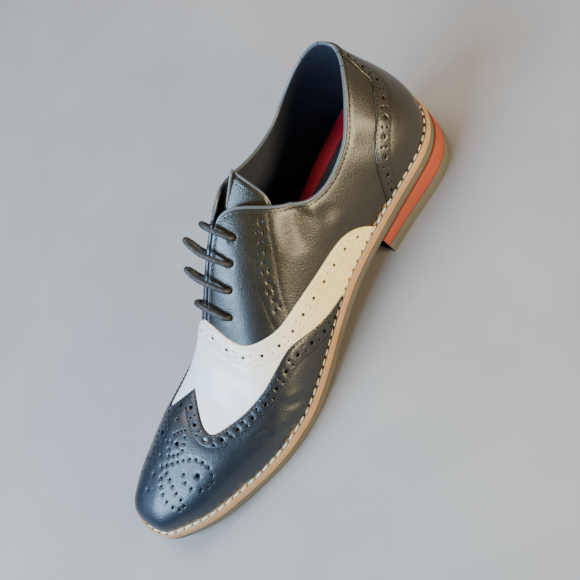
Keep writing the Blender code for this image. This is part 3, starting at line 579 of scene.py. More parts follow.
class Pattern:
    """A flat pattern of the last's surface, which can be read both ways."""

    def __init__(self, flat, low, high, floor=-0.1, ceiling=1.0):
        self.flat = flat
        round_places, up_places = np.linspace(low, high, ROUND_PLACES), np.linspace(floor, ceiling, UP_PLACES)
        w, t = np.meshgrid(round_places, up_places, indexing="ij")
        self.w, self.t = w.ravel(), t.ravel()
        found = flat(self.w, self.t)
        self.tree = KDTree(len(found))
        for i, (x, y) in enumerate(found):
            self.tree.insert((x, y, 0), i)
        self.tree.balance()

    def places(self, points):
        """The (w, t) of flat points."""
        points = np.asarray(points, float)
        start = np.array([self.tree.find((x, y, 0))[1] for x, y in points])
        w, t = self.w[start].copy(), self.t[start].copy()
        for _ in range(6):
            here = self.flat(w, t)
            by_w = (self.flat(w + NUDGE, t) - here) / NUDGE
            by_t = (self.flat(w, t + NUDGE) - here) / NUDGE
            miss = points - here
            area = by_w[:, 0] * by_t[:, 1] - by_w[:, 1] * by_t[:, 0]
            area = np.where(np.abs(area) < 1e-9, 1e-9, area)
            dw = (miss[:, 0] * by_t[:, 1] - miss[:, 1] * by_t[:, 0]) / area
            dt = (by_w[:, 0] * miss[:, 1] - by_w[:, 1] * miss[:, 0]) / area
            w = w + np.clip(dw, -0.01, 0.01)
            t = t + np.clip(dt, -0.03, 0.03)
        return w, np.clip(t, -0.12, 1.06)

    def rings(self, holes, wider=0.0, count=0):
        """A true circle on the surface for each hole, as flat points."""
        centres = np.array([(x, y) for x, y, _ in holes])
        step = 0.3 * MM
        moves = np.array([(step, 0), (-step, 0), (0, step), (0, -step)])
        w, t = self.places((centres[:, None] + moves[None]).reshape(-1, 2))
        p = last_point(*fold(w, t)).reshape(-1, 4, 3)
        made = []
        for centre, around, hole in zip(centres, p, holes):
            by = np.stack([around[0] - around[1], around[2] - around[3]], 1) / (2 * step)
            values, vectors = np.linalg.eigh(by.T @ by)
            spread = vectors @ np.diag(np.clip(values, 0.2, 5.0) ** -0.5) @ vectors.T
            corners = count or (12 if hole[2] > SMALL_HOLE else 8)
            turn = np.linspace(0, 2 * np.pi, corners, endpoint=False)
            made.append(centre + (hole[2] + wider) * np.stack([np.cos(turn), np.sin(turn)], 1) @ spread.T)
        return made


# Metres on the flat pattern of the sides for one unit of w
SIDE_SCALE = 0.4


def side_flat(w, t):
    """Flat pattern of the sides and the heel: across runs round the shoe and along runs up it."""
    around = np.mod(np.asarray(w, float) + 1, 2) - 1
    return np.stack([around * SIDE_SCALE, np.asarray(t, float) * girth(w)], -1)


def resample(line, step, closed=False):
    """Even points along a polyline of any dimension."""
    line = np.asarray(line, float)
    if closed:
        line = np.concatenate([line, line[:1]])
    length = np.r_[0, np.cumsum(np.linalg.norm(np.diff(line, axis=0), axis=1))]
    count = max(2, int(round(length[-1] / step)) + 1)
    even = np.linspace(0, length[-1], count)
    out = np.stack([np.interp(even, length, line[:, k]) for k in range(line.shape[1])], -1)
    return out[:-1] if closed else out


def offset(line, distance):
    """A flat polyline moved to its left by a distance."""
    way = np.gradient(line, axis=0)
    way /= np.maximum(np.linalg.norm(way, axis=1), 1e-12)[:, None]
    return line + np.stack([-way[:, 1], way[:, 0]], 1) * distance


def tree_of(points):
    tree = KDTree(len(points))
    for i, p in enumerate(points):
        tree.insert((p[0], p[1], p[2] if len(p) > 2 else 0), i)
    tree.balance()
    return tree


def nearest(tree, points):
    """Distance of each point to the nearest of a tree."""
    return np.array([tree.find((p[0], p[1], p[2] if len(p) > 2 else 0))[2] for p in points])


def inner_rows(edge, distance, outline_tree):
    """The pieces of a row that keeps its distance inside an edge."""
    step = 0.6 * MM
    row = resample(offset(resample(edge, step), distance), step)
    keep = nearest(outline_tree, row) > abs(distance) * 0.95
    pieces, piece = [], []
    for point, good in zip(row, keep):
        if good and (not piece or np.linalg.norm(point - piece[-1]) < 3 * step):
            piece.append(point)
        elif piece:
            pieces.append(np.array(piece))
            piece = [point] if good else []
    if piece:
        pieces.append(np.array(piece))
    return [p for p in pieces if len(p) > 8]


def crease_lines():
    lines = []
    for a0, g0, a1, g1, depth, width in CREASES:
        share = np.linspace(0, 1, 24)
        along, across = (a0 + (a1 - a0) * share) * MM, (g0 + (g1 - g0) * share) * MM
        angle = angle_of(along)
        w = np.where(across >= 0, angle, 2 - angle)
        point = last_point(w, 1 - np.abs(across) / girth(w))
        lines.append((point, depth * MM, width * MM))
    return lines


CREASE_LINES = crease_lines()


def relief(points):
    """Height that the creases add at points of the last, in metres."""
    height = np.zeros(len(points))
    for line, depth, width in CREASE_LINES:
        near = np.where(np.linalg.norm(points - line.mean(0), axis=1) < CREASE_REACH)[0]
        if len(near) == 0:
            continue
        gap = np.linalg.norm(points[near][:, None] - line[None], axis=2)
        at = gap.argmin(1)
        far = gap.min(1) / width
        share = at / (len(line) - 1)
        fade = np.clip(4 * share * (1 - share), 0, 1)
        lips = CREASE_LIP * np.exp(-((far - CREASE_LIP_PLACE) ** 2))
        height[near] += depth * fade * (lips - np.exp(-(far**2)))
    return height


# Edges sharper than this, in degrees, stay sharp
SHARP = 50
SOLE_SHARP = 42


def new_object(name, points, faces, look):
    """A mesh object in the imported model's frame, riding on its one body."""
    points = np.asarray(points, float) + [SHIFT, 0, 0]
    mesh = bpy.data.meshes.new(name)
    mesh.from_pydata(points.tolist(), [], [list(map(int, f)) for f in faces])
    mesh.validate()
    mesh.materials.append(look)
    mesh.shade_smooth()
    mesh.set_sharp_from_angle(angle=math.radians(SHARP))
    made = bpy.data.objects.new(name, mesh)
    bpy.context.scene.collection.objects.link(made)
    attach(made, "root")
    return made


def vertex_normals(points, triangles):
    first, second, third = (points[triangles[:, k]] for k in range(3))
    cross = np.cross(second - first, third - first)
    normals = np.zeros_like(points)
    for k in range(3):
        np.add.at(normals, triangles[:, k], cross)
    return normals / np.maximum(np.linalg.norm(normals, axis=1), 1e-15)[:, None]


def edge_points(outline, border, seams, rows):
    """Points along a panel's edge and its seams, where its surface turns."""
    lines = []
    for inset in rows:
        line = offset(np.concatenate([outline, outline[:1]]), inset * MM)
        lines.append(line[nearest(border, line) > inset * MM * 0.9])
    for seam in seams:
        for aside in (-0.8, 0.0, 0.8):
            lines.append(offset(resample(seam, 1.0 * MM), aside * MM))
    found = np.concatenate(lines)
    found = found[inside(found, outline)]
    return found[nearest(border, found) > 0.25 * MM]


def grid_points(outline, taken, pitch):
    """A grid of triangles inside an outline, clear of the points already taken."""
    low_corner, high_corner = outline.min(0), outline.max(0)
    xs = np.arange(low_corner[0], high_corner[0], pitch)
    ys = np.arange(low_corner[1], high_corner[1], pitch * 0.87)
    gx, gy = np.meshgrid(xs, ys)
    gx = gx + (np.arange(len(ys)) % 2)[:, None] * pitch / 2
    grid = np.stack([gx.ravel(), gy.ravel()], 1)
    grid = grid[inside(grid, outline)]
    return grid[nearest(tree_of(taken), grid) > 0.6 * pitch]


def inner_points(outline, border, holes, lips, seams, rows, pitch):
    """All points of a panel but its outline and the rims of its holes."""
    extra = edge_points(outline, border, seams, rows)
    grid = grid_points(outline, np.concatenate([outline] + lips + [extra]), pitch)
    free = np.concatenate([extra] + lips + [grid])
    centres = np.array([(x, y) for x, y, _ in holes])
    reach = np.array([r for _, _, r in holes])
    gap = np.linalg.norm(free[:, None] - centres[None], axis=2) - reach[None]
    free = free[gap.min(1) > 0.12 * MM]
    _, first = np.unique(np.round(free / (0.3 * MM)), axis=0, return_index=True)
    free = free[np.sort(first)]
    return free[inside(free, outline)]


def triangulate(outline, rings, free):
    """Flat points, triangles with the holes left open, and each point's hole or -1."""
    points, groups, count = [outline], [], len(outline)
    edges = [(i, (i + 1) % count) for i in range(count)]
    start = count
    for ring in rings:
        size = len(ring)
        edges += [(start + i, start + (i + 1) % size) for i in range(size)]
        groups.append((start, start + size))
        points.append(ring)
        start += size
    points = np.concatenate(points + [free])
    found = delaunay_2d_cdt([Vector(p) for p in points], edges, [], 0, 1e-7)
    flat = np.array([tuple(v) for v in found[0]])
    triangles = np.array([list(f) for f in found[2] if len(f) == 3])
    owner = np.full(len(flat), -1)
    for i, origins in enumerate(found[3]):
        for o in origins:
            if count <= o < start:
                owner[i] = next(k for k, (a, b) in enumerate(groups) if a <= o < b)
    middle = flat[triangles].mean(1)
    same = (owner[triangles[:, 0]] >= 0) & (owner[triangles[:, 0]] == owner[triangles[:, 1]])
    same &= owner[triangles[:, 1]] == owner[triangles[:, 2]]
    triangles = triangles[inside(middle, outline) & ~same]
    used = np.unique(triangles)
    index = np.full(len(flat), -1)
    index[used] = np.arange(len(used))
    return flat[used], index[triangles], owner[used]


# How far the leather is drawn in at a seam and how wide, and how far at a hole's rim
SEAM_DEPTH = 0.22 * MM
SEAM_WIDTH = 0.7 * MM
RIM_DEPTH = 0.2 * MM

# How far a panel reaches below its own low face, into what it lies on
SUNK = 0.25 * MM


def panel_lift(flat, border, on_rim, seams, low, high):
    """Height of a panel's top face: round at its edge, drawn in along its seams and at its holes."""
    thick = high - low
    turn = np.clip(nearest(border, flat) / (1.1 * thick), 0, 1)
    lift = low + thick * np.sqrt(np.clip(1 - (1 - turn) ** 2, 0, 1))
    line = tree_of(np.concatenate([resample(s, 0.4 * MM) for s in seams]))
    lift = lift - SEAM_DEPTH * np.exp(-((nearest(line, flat) / SEAM_WIDTH) ** 2))
    return np.where(on_rim, lift - RIM_DEPTH, lift)


def panel(name, pattern, outline, low, high, look, holes, seams, rows=(0.35, 0.9, 1.7), pitch=1.7 * MM):
    """A cut panel on the last between two heights, with turned edges, punched holes and sewn seams."""
    outline = resample(outline, 0.9 * MM, closed=True)
    after = np.roll(outline, -1, axis=0)
    if np.sum(outline[:, 0] * after[:, 1] - after[:, 0] * outline[:, 1]) < 0:
        outline = outline[::-1]
    border = tree_of(resample(outline, 0.3 * MM, closed=True))
    rings = pattern.rings(holes)
    lips = pattern.rings(holes, 0.4 * MM, 10)
    free = inner_points(outline, border, holes, lips, seams, rows, pitch)
    flat, triangles, owner = triangulate(outline, rings, free)
    w, t = pattern.places(flat)
    base = last_point(*fold(w, t))
    normals = vertex_normals(base, triangles)
    outward = surface(w[:50], t[:50])[1]
    if (normals[:50] * outward).sum() < 0:
        triangles = triangles[:, ::-1]
        normals = -normals
    lift = panel_lift(flat, border, owner >= 0, seams, low, high)
    raised = relief(base)
    top = base + normals * (lift + raised)[:, None]
    bottom = base + normals * (low - SUNK + raised)[:, None]
    size = len(top)
    sides = {(int(a), int(b)) for tri in triangles for a, b in zip(tri, np.roll(tri, -1))}
    faces = [tuple(f) for f in triangles] + [tuple(i + size for i in f[::-1]) for f in triangles]
    faces += [(j, i, i + size, j + size) for i, j in sides if (j, i) not in sides]
    return new_object(name, np.concatenate([top, bottom]), faces, look)


def route(pattern, line, lift):
    """A flat polyline as points and normals at a height over the last."""
    w, t = pattern.places(line)
    point, normal = surface(w, t)
    return point + normal * (lift + relief(point))[:, None], normal


# One stitch as rings from end to end
STITCH = [
    # place along the stitch, share of the radius, sink in radii
    (-0.5, 0.0, -1.3),
    (-0.46, 0.62, -0.9),
    (-0.30, 0.95, -0.15),
    (0.0, 1.0, 0.1),
    (0.30, 0.95, -0.15),
    (0.46, 0.62, -0.9),
    (0.5, 0.0, -1.3),
]

# How far stitches turn out of line, in radians
STITCH_JITTER = 0.03


def sew(name, routes, look, pitch, length, radius, slant=0.0, sides=6):
    """Rows of stitches as one joined mesh."""
    rng = np.random.default_rng(len(name))
    points, faces = [], []
    turn = np.linspace(0, 2 * np.pi, sides, endpoint=False)
    for path, normals in routes:
        run = np.r_[0, np.cumsum(np.linalg.norm(np.diff(path, axis=0), axis=1))]
        count = int(run[-1] / pitch)
        if count < 1:
            continue
        centres = (np.arange(count) + 0.5) * run[-1] / count
        at = np.stack([np.interp(centres, run, path[:, k]) for k in range(3)], -1)
        way = np.gradient(path, axis=0)
        way = np.stack([np.interp(centres, run, way[:, k]) for k in range(3)], -1)
        way /= np.linalg.norm(way, axis=1)[:, None]
        up = np.stack([np.interp(centres, run, normals[:, k]) for k in range(3)], -1)
        across = np.cross(up, way)
        across /= np.linalg.norm(across, axis=1)[:, None]
        up = np.cross(way, across)
        for i in range(count):
            tilt = slant + rng.normal(0, STITCH_JITTER)
            ahead = way[i] * math.cos(tilt) + across[i] * math.sin(tilt)
            beside = across[i] * math.cos(tilt) - way[i] * math.sin(tilt)
            base = len(points)
            for place, share, sink in STITCH:
                centre = at[i] + ahead * place * length + up[i] * sink * radius
                if share == 0:
                    points.append(centre)
                    continue
                for a in turn:
                    points.append(centre + (beside * math.cos(a) + up[i] * math.sin(a)) * radius * share)
            rings = len(STITCH) - 2
            for k in range(sides):
                n = (k + 1) % sides
                faces.append((base, base + 1 + n, base + 1 + k))
                for r in range(rings - 1):
                    a, b = base + 1 + r * sides, base + 1 + (r + 1) * sides
                    faces.append((a + k, a + n, b + n, b + k))
                last = base + 1 + (rings - 1) * sides
                faces.append((last + k, last + n, last + sides))
    return new_object(name, points, faces, look)


def tube(name, path, radius, look, sides=14, normals=None, braid=0.0, lay=0.0):
    """A cord or rolled edge swept along a path, with a braided surface where asked."""
    path = np.asarray(path, float)
    way = np.gradient(path, axis=0)
    way /= np.linalg.norm(way, axis=1)[:, None]
    frames = []
    up = normals[0] if normals is not None else np.array([0, 0, 1.0])
    for i, ahead in enumerate(way):
        up = normals[i] if normals is not None else up
        side = np.cross(ahead, up)
        side /= np.linalg.norm(side)
        up = np.cross(side, ahead)
        frames.append((side, up))
    run = np.r_[0, np.cumsum(np.linalg.norm(np.diff(path, axis=0), axis=1))]
    turn = np.linspace(0, 2 * np.pi, sides, endpoint=False)
    points = []
    for i, (side, up) in enumerate(frames):
        wave = np.zeros(sides)
        if braid:
            step = run[i] / lay * np.pi
            wave = braid * np.maximum(np.abs(np.sin(4 * turn + step)), np.abs(np.sin(4 * turn - step)))
        r = radius * (1 - braid + wave)
        points += list(path[i] + (np.cos(turn) * r)[:, None] * side + (np.sin(turn) * r)[:, None] * up)
    rings = len(path)
    faces = []
    for i in range(rings - 1):
        a, b = i * sides, (i + 1) * sides
        for k in range(sides):
            n = (k + 1) % sides
            faces.append((a + k, a + n, b + n, b + k))
    faces.append(tuple(range(sides - 1, -1, -1)))
    faces.append(tuple((rings - 1) * sides + k for k in range(sides)))
    return new_object(name, points, faces, look)


# Materials


def coordinate(mat):
    """Object coordinates in metres, as a socket."""
    return mat.node_tree.nodes.new("ShaderNodeTexCoord").outputs["Object"]


def noise(mat, scale, detail=3.0, rough=0.55):
    node = mat.node_tree.nodes.new("ShaderNodeTexNoise")
    node.inputs["Scale"].default_value = scale
    node.inputs["Detail"].default_value = detail
    node.inputs["Roughness"].default_value = rough
    mat.node_tree.links.new(coordinate(mat), node.inputs["Vector"])
    return node.outputs["Fac"]


def cells(mat, scale):
    node = mat.node_tree.nodes.new("ShaderNodeTexVoronoi")
    node.inputs["Scale"].default_value = scale
    mat.node_tree.links.new(coordinate(mat), node.inputs["Vector"])
    return node.outputs["Distance"]


def spread(mat, value, low, high, to_low=0.0, to_high=1.0):
    node = mat.node_tree.nodes.new("ShaderNodeMapRange")
    for name, number in zip(("From Min", "From Max", "To Min", "To Max"), (low, high, to_low, to_high)):
        node.inputs[name].default_value = number
    mat.node_tree.links.new(value, node.inputs["Value"])
    return node.outputs["Result"]


def axis(mat, name):
    node = mat.node_tree.nodes.new("ShaderNodeSeparateXYZ")
    mat.node_tree.links.new(coordinate(mat), node.inputs["Vector"])
    return node.outputs[name]


def mix(mat, share, first, second):
    """Mixes two colours, or two sockets of colour, by a socket."""
    node = mat.node_tree.nodes.new("ShaderNodeMix")
    node.data_type = "RGBA"
    mat.node_tree.links.new(share, node.inputs["Factor"])
    for name, value in (("A", first), ("B", second)):
        socket = [s for s in node.inputs if s.name == name and s.type == "RGBA"][0]
        if isinstance(value, tuple):
            socket.default_value = (*value, 1)
        else:
            mat.node_tree.links.new(value, socket)
    return [s for s in node.outputs if s.type == "RGBA"][0]


def math_node(mat, operation, first, second):
    node = mat.node_tree.nodes.new("ShaderNodeMath")
    node.operation = operation
    for socket, value in zip(node.inputs, (first, second)):
        if isinstance(value, (int, float)):
            socket.default_value = value
        else:
            mat.node_tree.links.new(value, socket)
    return node.outputs["Value"]


def bump(mat, layers):
    """Stacks bumps: each layer is a height socket, a distance in metres and a strength."""
    nodes, links = mat.node_tree.nodes, mat.node_tree.links
    last = None
    for height, distance, strength in layers:
        node = nodes.new("ShaderNodeBump")
        node.inputs["Distance"].default_value = distance
        node.inputs["Strength"].default_value = strength
        links.new(height, node.inputs["Height"])
        if last is not None:
            links.new(last, node.inputs["Normal"])
        last = node.outputs["Normal"]
    links.new(last, nodes["Principled BSDF"].inputs["Normal"])


def start(name, roughness=0.5, coat=0.0, coat_roughness=0.2, specular=0.5):
    mat = bpy.data.materials.new(name)
    mat.use_nodes = True
    shader = mat.node_tree.nodes["Principled BSDF"]
    shader.inputs["Roughness"].default_value = roughness
    shader.inputs["Coat Weight"].default_value = coat
    shader.inputs["Coat Roughness"].default_value = coat_roughness
    shader.inputs["Specular IOR Level"].default_value = specular
    return mat, shader, mat.node_tree.links


def leather(name, cool, warm, roughness, coat, grain, front=-0.10, back=0.03, mottle=0.25):
    """Grained leather that turns from a cool to a warm tone along the shoe. On the black leather the cool toe
    and warm quarters are painted sheen, standing in for the blue and golden reflections of the lights.
    """
    mat, shader, links = start(name, roughness, coat, 0.24, 0.4)
    along = spread(mat, axis(mat, "Y"), front, back)
    tone = mix(mat, along, cool, warm)
    dark = tuple(c * (1 - mottle) for c in warm)
    cloudy = spread(mat, noise(mat, 38.0, 4.0), 0.42, 0.72)
    patch = math_node(mat, "MULTIPLY", cloudy, mottle)
    links.new(mix(mat, patch, tone, dark), shader.inputs["Base Color"])
    rough = spread(mat, noise(mat, 90.0, 5.0), 0.3, 0.7, roughness - 0.06, roughness + 0.08)
    links.new(rough, shader.inputs["Roughness"])
    pebbles = cells(mat, 1150.0)
    wrinkles = noise(mat, 420.0, 6.0, 0.6)
    bump(mat, [(wrinkles, 0.0004, 0.16 * grain), (pebbles, 0.00022, 0.34 * grain)])
    return mat


# Black leather: its bluish tone at the toe and olive tone at the quarters are painted sheen, reflections of
# the blue and golden lights put into the base colour
black = leather(
    "black_leather_painted_sheen_look",
    cool=(0.008, 0.015, 0.027),
    warm=(0.020, 0.016, 0.006),
    roughness=0.34,
    coat=0.36,
    grain=1.5,
)
# Piping: black leather given a pale blue-grey base colour, a painted reflection of the sky along the rolled
# edges
sky_sheen_piping = leather(
    "piping_painted_sky_sheen_look",
    cool=(0.085, 0.105, 0.135),
    warm=(0.095, 0.110, 0.130),
    roughness=0.30,
    coat=0.5,
    grain=0.5,
)
white = leather(
    "white_leather_look",
    cool=(0.84, 0.89, 0.90),
    warm=(0.97, 0.78, 0.35),
    roughness=0.34,
    coat=0.3,
    grain=0.5,
    front=-0.06,
    back=0.02,
    mottle=0.05,
)


def plain(name, colour, roughness, scale, distance, strength, variation=0.25):
    mat, shader, links = start(name, roughness)
    dark = tuple(c * (1 - variation) for c in colour)
    share = spread(mat, noise(mat, scale / 6, 4.0), 0.35, 0.7)
    links.new(mix(mat, share, colour, dark), shader.inputs["Base Color"])
    bump(mat, [(noise(mat, scale, 5.0), distance, strength)])
    return mat


black_thread = plain("black_thread_look", (0.010, 0.010, 0.012), 0.55, 3000.0, 0.0001, 0.3)
white_thread = plain("white_thread_look", (0.42, 0.42, 0.40), 0.6, 3000.0, 0.0001, 0.3)
cream_thread = plain("welt_thread_look", (0.93, 0.86, 0.68), 0.6, 1600.0, 0.0003, 0.6)
lining = plain("lining_look", (0.014, 0.018, 0.032), 0.75, 1500.0, 0.0002, 0.4)
lace_look = plain("lace_look", (0.045, 0.043, 0.042), 0.5, 2600.0, 0.0002, 0.6, 0.75)


def banded(name, colour, other, roughness, bands):
    """Sole material with fine streaks that run round the shoe."""
    edge = 0.35
    mat, shader, links = start(name, roughness)
    height = axis(mat, "Z")
    wobble = math_node(mat, "MULTIPLY", noise(mat, 60.0, 3.0), 0.004)
    streak = mat.node_tree.nodes.new("ShaderNodeTexNoise")
    streak.noise_dimensions = "1D"
    streak.inputs["Scale"].default_value = bands
    streak.inputs["Detail"].default_value = 4.0
    links.new(math_node(mat, "ADD", height, wobble), streak.inputs["W"])
    share = spread(mat, streak.outputs["Fac"], 0.5 - edge / 2, 0.5 + edge / 2)
    worn = spread(mat, noise(mat, 45.0, 5.0), 0.35, 0.75)
    both = math_node(mat, "MULTIPLY", share, worn)
    links.new(mix(mat, both, colour, other), shader.inputs["Base Color"])
    bump(mat, [(streak.outputs["Fac"], 0.0003, 0.25), (noise(mat, 900.0, 4.0), 0.0002, 0.3)])
    return mat


welt_look = banded("welt_look", (0.47, 0.27, 0.125), (0.27, 0.145, 0.065), 0.45, 1500.0)
rubber = banded("rubber_look", (0.115, 0.105, 0.078), (0.06, 0.055, 0.042), 0.6, 700.0)
red_stack = banded("heel_stack_look", (0.34, 0.058, 0.022), (0.20, 0.038, 0.018), 0.5, 1100.0)


# Stripe of the insole: its middle's place across, half its width and how far its edge fades
STRIPE_PLACE = -0.0240
STRIPE_HALF = 0.0050
STRIPE_FADE = 0.0003


def insole_look():
    """Dark footbed with one wide red stripe along it."""
    mat, shader, links = start("insole_look", 0.6)
    footbed, stripe = (0.010, 0.012, 0.02), (0.64, 0.004, 0.026)
    across = math_node(mat, "SUBTRACT", axis(mat, "X"), STRIPE_PLACE)
    gap = math_node(mat, "ABSOLUTE", across, 0.0)
    inside_stripe = spread(mat, gap, STRIPE_HALF + STRIPE_FADE, STRIPE_HALF - STRIPE_FADE)
    links.new(mix(mat, inside_stripe, footbed, stripe), shader.inputs["Base Color"])
    bump(mat, [(noise(mat, 1300.0, 5.0), 0.0002, 0.4)])
    return mat


# The sole

# Points in one ring round it
RING = 480


def whole_ring(inset, height):
    w = np.linspace(0, 2, RING, endpoint=False)
    along, across, _, _ = sole_edge(w, inset)
    return np.stack([across, SOLE_HALF - along, height(along)], -1)


def stack_of_rings(name, rings, look):
    """A solid from rings stacked from its underside to its top, closed by ladders."""
    count = len(rings[0])
    points = np.concatenate(rings)
    faces = []
    for level in range(len(rings) - 1):
        base = level * count
        for i in range(count):
            j = (i + 1) % count
            faces.append((base + i, base + j, base + count + j, base + count + i))
    for base, turn in ((0, 1), ((len(rings) - 1) * count, -1)):
        for i in range(count // 2):
            ends = [base + i, base + i + 1, base + (count - i - 1) % count, base + (count - i) % count]
            ends = list(dict.fromkeys(ends))
            faces.append(tuple(ends[::-turn]))
    made = new_object(name, points, faces, look)
    work = bmesh.new()
    work.from_mesh(made.data)
    bmesh.ops.remove_doubles(work, verts=work.verts, dist=0.000002)
    bmesh.ops.recalc_face_normals(work, faces=work.faces)
    work.to_mesh(made.data)
    work.free()
    made.data.shade_smooth()
    made.data.set_sharp_from_angle(angle=math.radians(SOLE_SHARP))
    return made


# Rim of the midsole and the top of the welt, with the groove for its stitches
WELT_RIM_PROFILE = [
    # distance in from the edge in mm, height over the midsole's underside in mm
    (0.9, 0.0),
    (0.35, 0.0),
    (0.1, 0.25),
    (0.0, 0.6),
]
WELT_TOP_PROFILE = [
    # distance in from the edge in mm, height over the welt's top in mm
    (0.0, -1.1),
    (0.12, -0.62),
    (0.4, -0.22),
    (0.8, -0.04),
    (1.2, 0.0),
    (1.45, -0.12),
    (1.65, -0.55),
    (2.1, -0.82),
    (2.6, -0.80),
    (3.0, -0.50),
    (3.2, -0.05),
    (3.5, 0.28),
    (3.9, 0.42),
    (4.4, 0.38),
    (4.8, 0.05),
    (5.2, -0.3),
    (8.0, -0.3),
]


# How far the welt's stitches lie in from its edge and below its top
WELT_STITCH_IN = 2.3 * MM
WELT_STITCH_DROP = 0.28 * MM


def make_welt():
    rings = []
    for inset, height in WELT_RIM_PROFILE:
        rings.append(whole_ring(inset * MM, lambda a, h=height: sole_bottom(a) + OUTSOLE + GAP + h * MM))
    for inset, height in WELT_TOP_PROFILE:
        rings.append(whole_ring(inset * MM, lambda a, h=height: welt_top(a) + h * MM))
    made = stack_of_rings("stitched_welt", rings, welt_look)
    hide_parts("midsole_welt")
    w = np.linspace(0, 2, 4001)
    along, across, _, _ = sole_edge(w, WELT_STITCH_IN)
    path = np.stack([across, SOLE_HALF - along, welt_top(along) - WELT_STITCH_DROP], -1)
    up = np.tile([0.0, 0.0, 1.0], (len(path), 1))
    thread = sew(
        "welt_stitches", [(path, up)], cream_thread,
        pitch=5.9 * MM, length=5.5 * MM, radius=0.82 * MM, slant=0.12, sides=8,
    )


# Side of the outsole
OUTSOLE_PROFILE = [
    # distance in from the edge, height over the underside
    (OUTSOLE_UNDERCUT + 1.2 * MM, 0.0),
    (OUTSOLE_UNDERCUT + 0.3 * MM, 0.2 * MM),
    (OUTSOLE_UNDERCUT, 0.8 * MM),
    (0.35 * MM, OUTSOLE / 2),
    (0.05 * MM, OUTSOLE - 0.9 * MM),
    (0.12 * MM, OUTSOLE - 0.3 * MM),
    (0.45 * MM, OUTSOLE - 0.02 * MM),
    (1.0 * MM, OUTSOLE),
]


def make_outsole():
    rings = [whole_ring(inset, lambda a, h=height: sole_bottom(a) + h) for inset, height in OUTSOLE_PROFILE]
    made = stack_of_rings("rubber_outsole", rings, rubber)
    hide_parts("outsole")


def heel_outline(inset, height):
    w = np.linspace(0, float(angle_of(HEEL_BREAST)), 90)
    sides = []
    for places, side in ((w, 1), (2 - w, -1)):
        along, across, _, _ = sole_edge(places, inset)
        half = (sole_edge(w[-1], inset)[1] - sole_edge(2 - w[-1], inset)[1]) / 2
        points = list(zip(across, along))
        for share in np.linspace(0.95, 0, 20):
            hollow = BREAST_HOLLOW * (1 - share**2)
            points.append((across[-1] - side * half * (1 - share), along[-1] - hollow))
        sides.append(points)
    outline = np.array(sides[0] + sides[1][-2:0:-1])
    return np.stack([outline[:, 0], SOLE_HALF - outline[:, 1], height(outline[:, 1])], -1)


# Taper of the heel at the joint of its two pieces
JOINT_TAPER = HEEL_TAPER * HEEL_TOP_PIECE / HEEL_HEIGHT


def make_heel_stack():
    """Red layer between the outsole and the heel's top piece."""
    low = HEEL_TOP_PIECE + GAP
    rings = []
    for inset, height in ((0.4, 0.0), (0.08, 0.15), (0.0, 0.5)):
        level = low + height * MM
        rings.append(heel_outline(JOINT_TAPER + inset * MM, lambda a, h=level: np.full_like(a, h)))
    for inset, drop in ((0.0, 0.5), (0.08, 0.15), (0.4, 0.0)):
        rings.append(heel_outline(inset * MM, lambda a, d=drop: sole_bottom(a) - GAP - d * MM))
    made = stack_of_rings("red_heel_stack", rings, red_stack)
    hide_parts("heel_lift")


HEEL_PIECE_PROFILE = [
    # distance in from the outsole's edge, height over the floor
    (HEEL_TAPER + 0.9 * MM, 0.0),
    (HEEL_TAPER + 0.25 * MM, 0.2 * MM),
    (HEEL_TAPER, 0.8 * MM),
    (JOINT_TAPER, HEEL_TOP_PIECE - 0.5 * MM),
    (JOINT_TAPER + 0.08 * MM, HEEL_TOP_PIECE - 0.15 * MM),
    (JOINT_TAPER + 0.4 * MM, HEEL_TOP_PIECE),
]


def make_heel_piece():
    """Rubber piece that the heel stands on."""
    rings = []
    for inset, level in HEEL_PIECE_PROFILE:
        rings.append(heel_outline(inset, lambda a, h=level: np.full_like(a, h)))
    made = stack_of_rings("rubber_heel_piece", rings, rubber)
    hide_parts("heel_top_piece")


# Rise of the insole in the heel, and where it has run out
HEEL_PAD = 4 * MM
HEEL_PAD_FRONT = 150 * MM

# Rings of the insole from its underside up: share of the reach inwards, drop below its top
FOOTBED_REACH = 22 * MM
FOOTBED_RINGS = [
    (0.0, INSOLE),
    (0.0, 0.5 * MM),
    (0.02, 0.1 * MM),
    (0.06, 0.0),
    (0.3, 0.3 * MM),
    (0.6, 0.7 * MM),
]


def make_footbed():
    """Insole with a slight hollow for the foot, and its stripe."""
    w = np.linspace(0, 2, RING // 2, endpoint=False)
    inset = welt_inset(w) + WALL + INSOLE_CLEARANCE
    rings = []
    for share, drop in FOOTBED_RINGS:
        along, across, _, _ = sole_edge(w, inset + share * FOOTBED_REACH)
        pad = 0.0 if drop == INSOLE else HEEL_PAD * smooth_step(along, HEEL_PAD_FRONT, HEEL_BREAST)
        rings.append(np.stack([across, SOLE_HALF - along, welt_top(along) + GAP + INSOLE - drop + pad], -1))
    made = stack_of_rings("striped_insole", rings, insole_look())
    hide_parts("insole")


# The upper

SIDE = Pattern(side_flat, -0.72, 0.72, -0.1, 1.05)
FRONT = Pattern(chart, 0.24, 1.76)

# The punched strip, each row as places round and up
STRIP_INNER = [
    (0.416, 0.720),
    (0.442, 0.655),
    (0.464, 0.610),
    (0.490, 0.565),
    (0.502, 0.515),
    (0.512, 0.470),
    (0.520, 0.420),
]
STRIP_OUTER = [
    (0.398, 0.660),
    (0.412, 0.610),
    (0.432, 0.555),
    (0.452, 0.495),
    (0.472, 0.445),
    (0.490, 0.385),
    (0.497, 0.340),
]
STRIP_HOLES = [
    (0.414, 0.660),
    (0.426, 0.635),
    (0.445, 0.600),
    (0.462, 0.555),
    (0.478, 0.510),
    (0.494, 0.450),
    (0.503, 0.400),
]

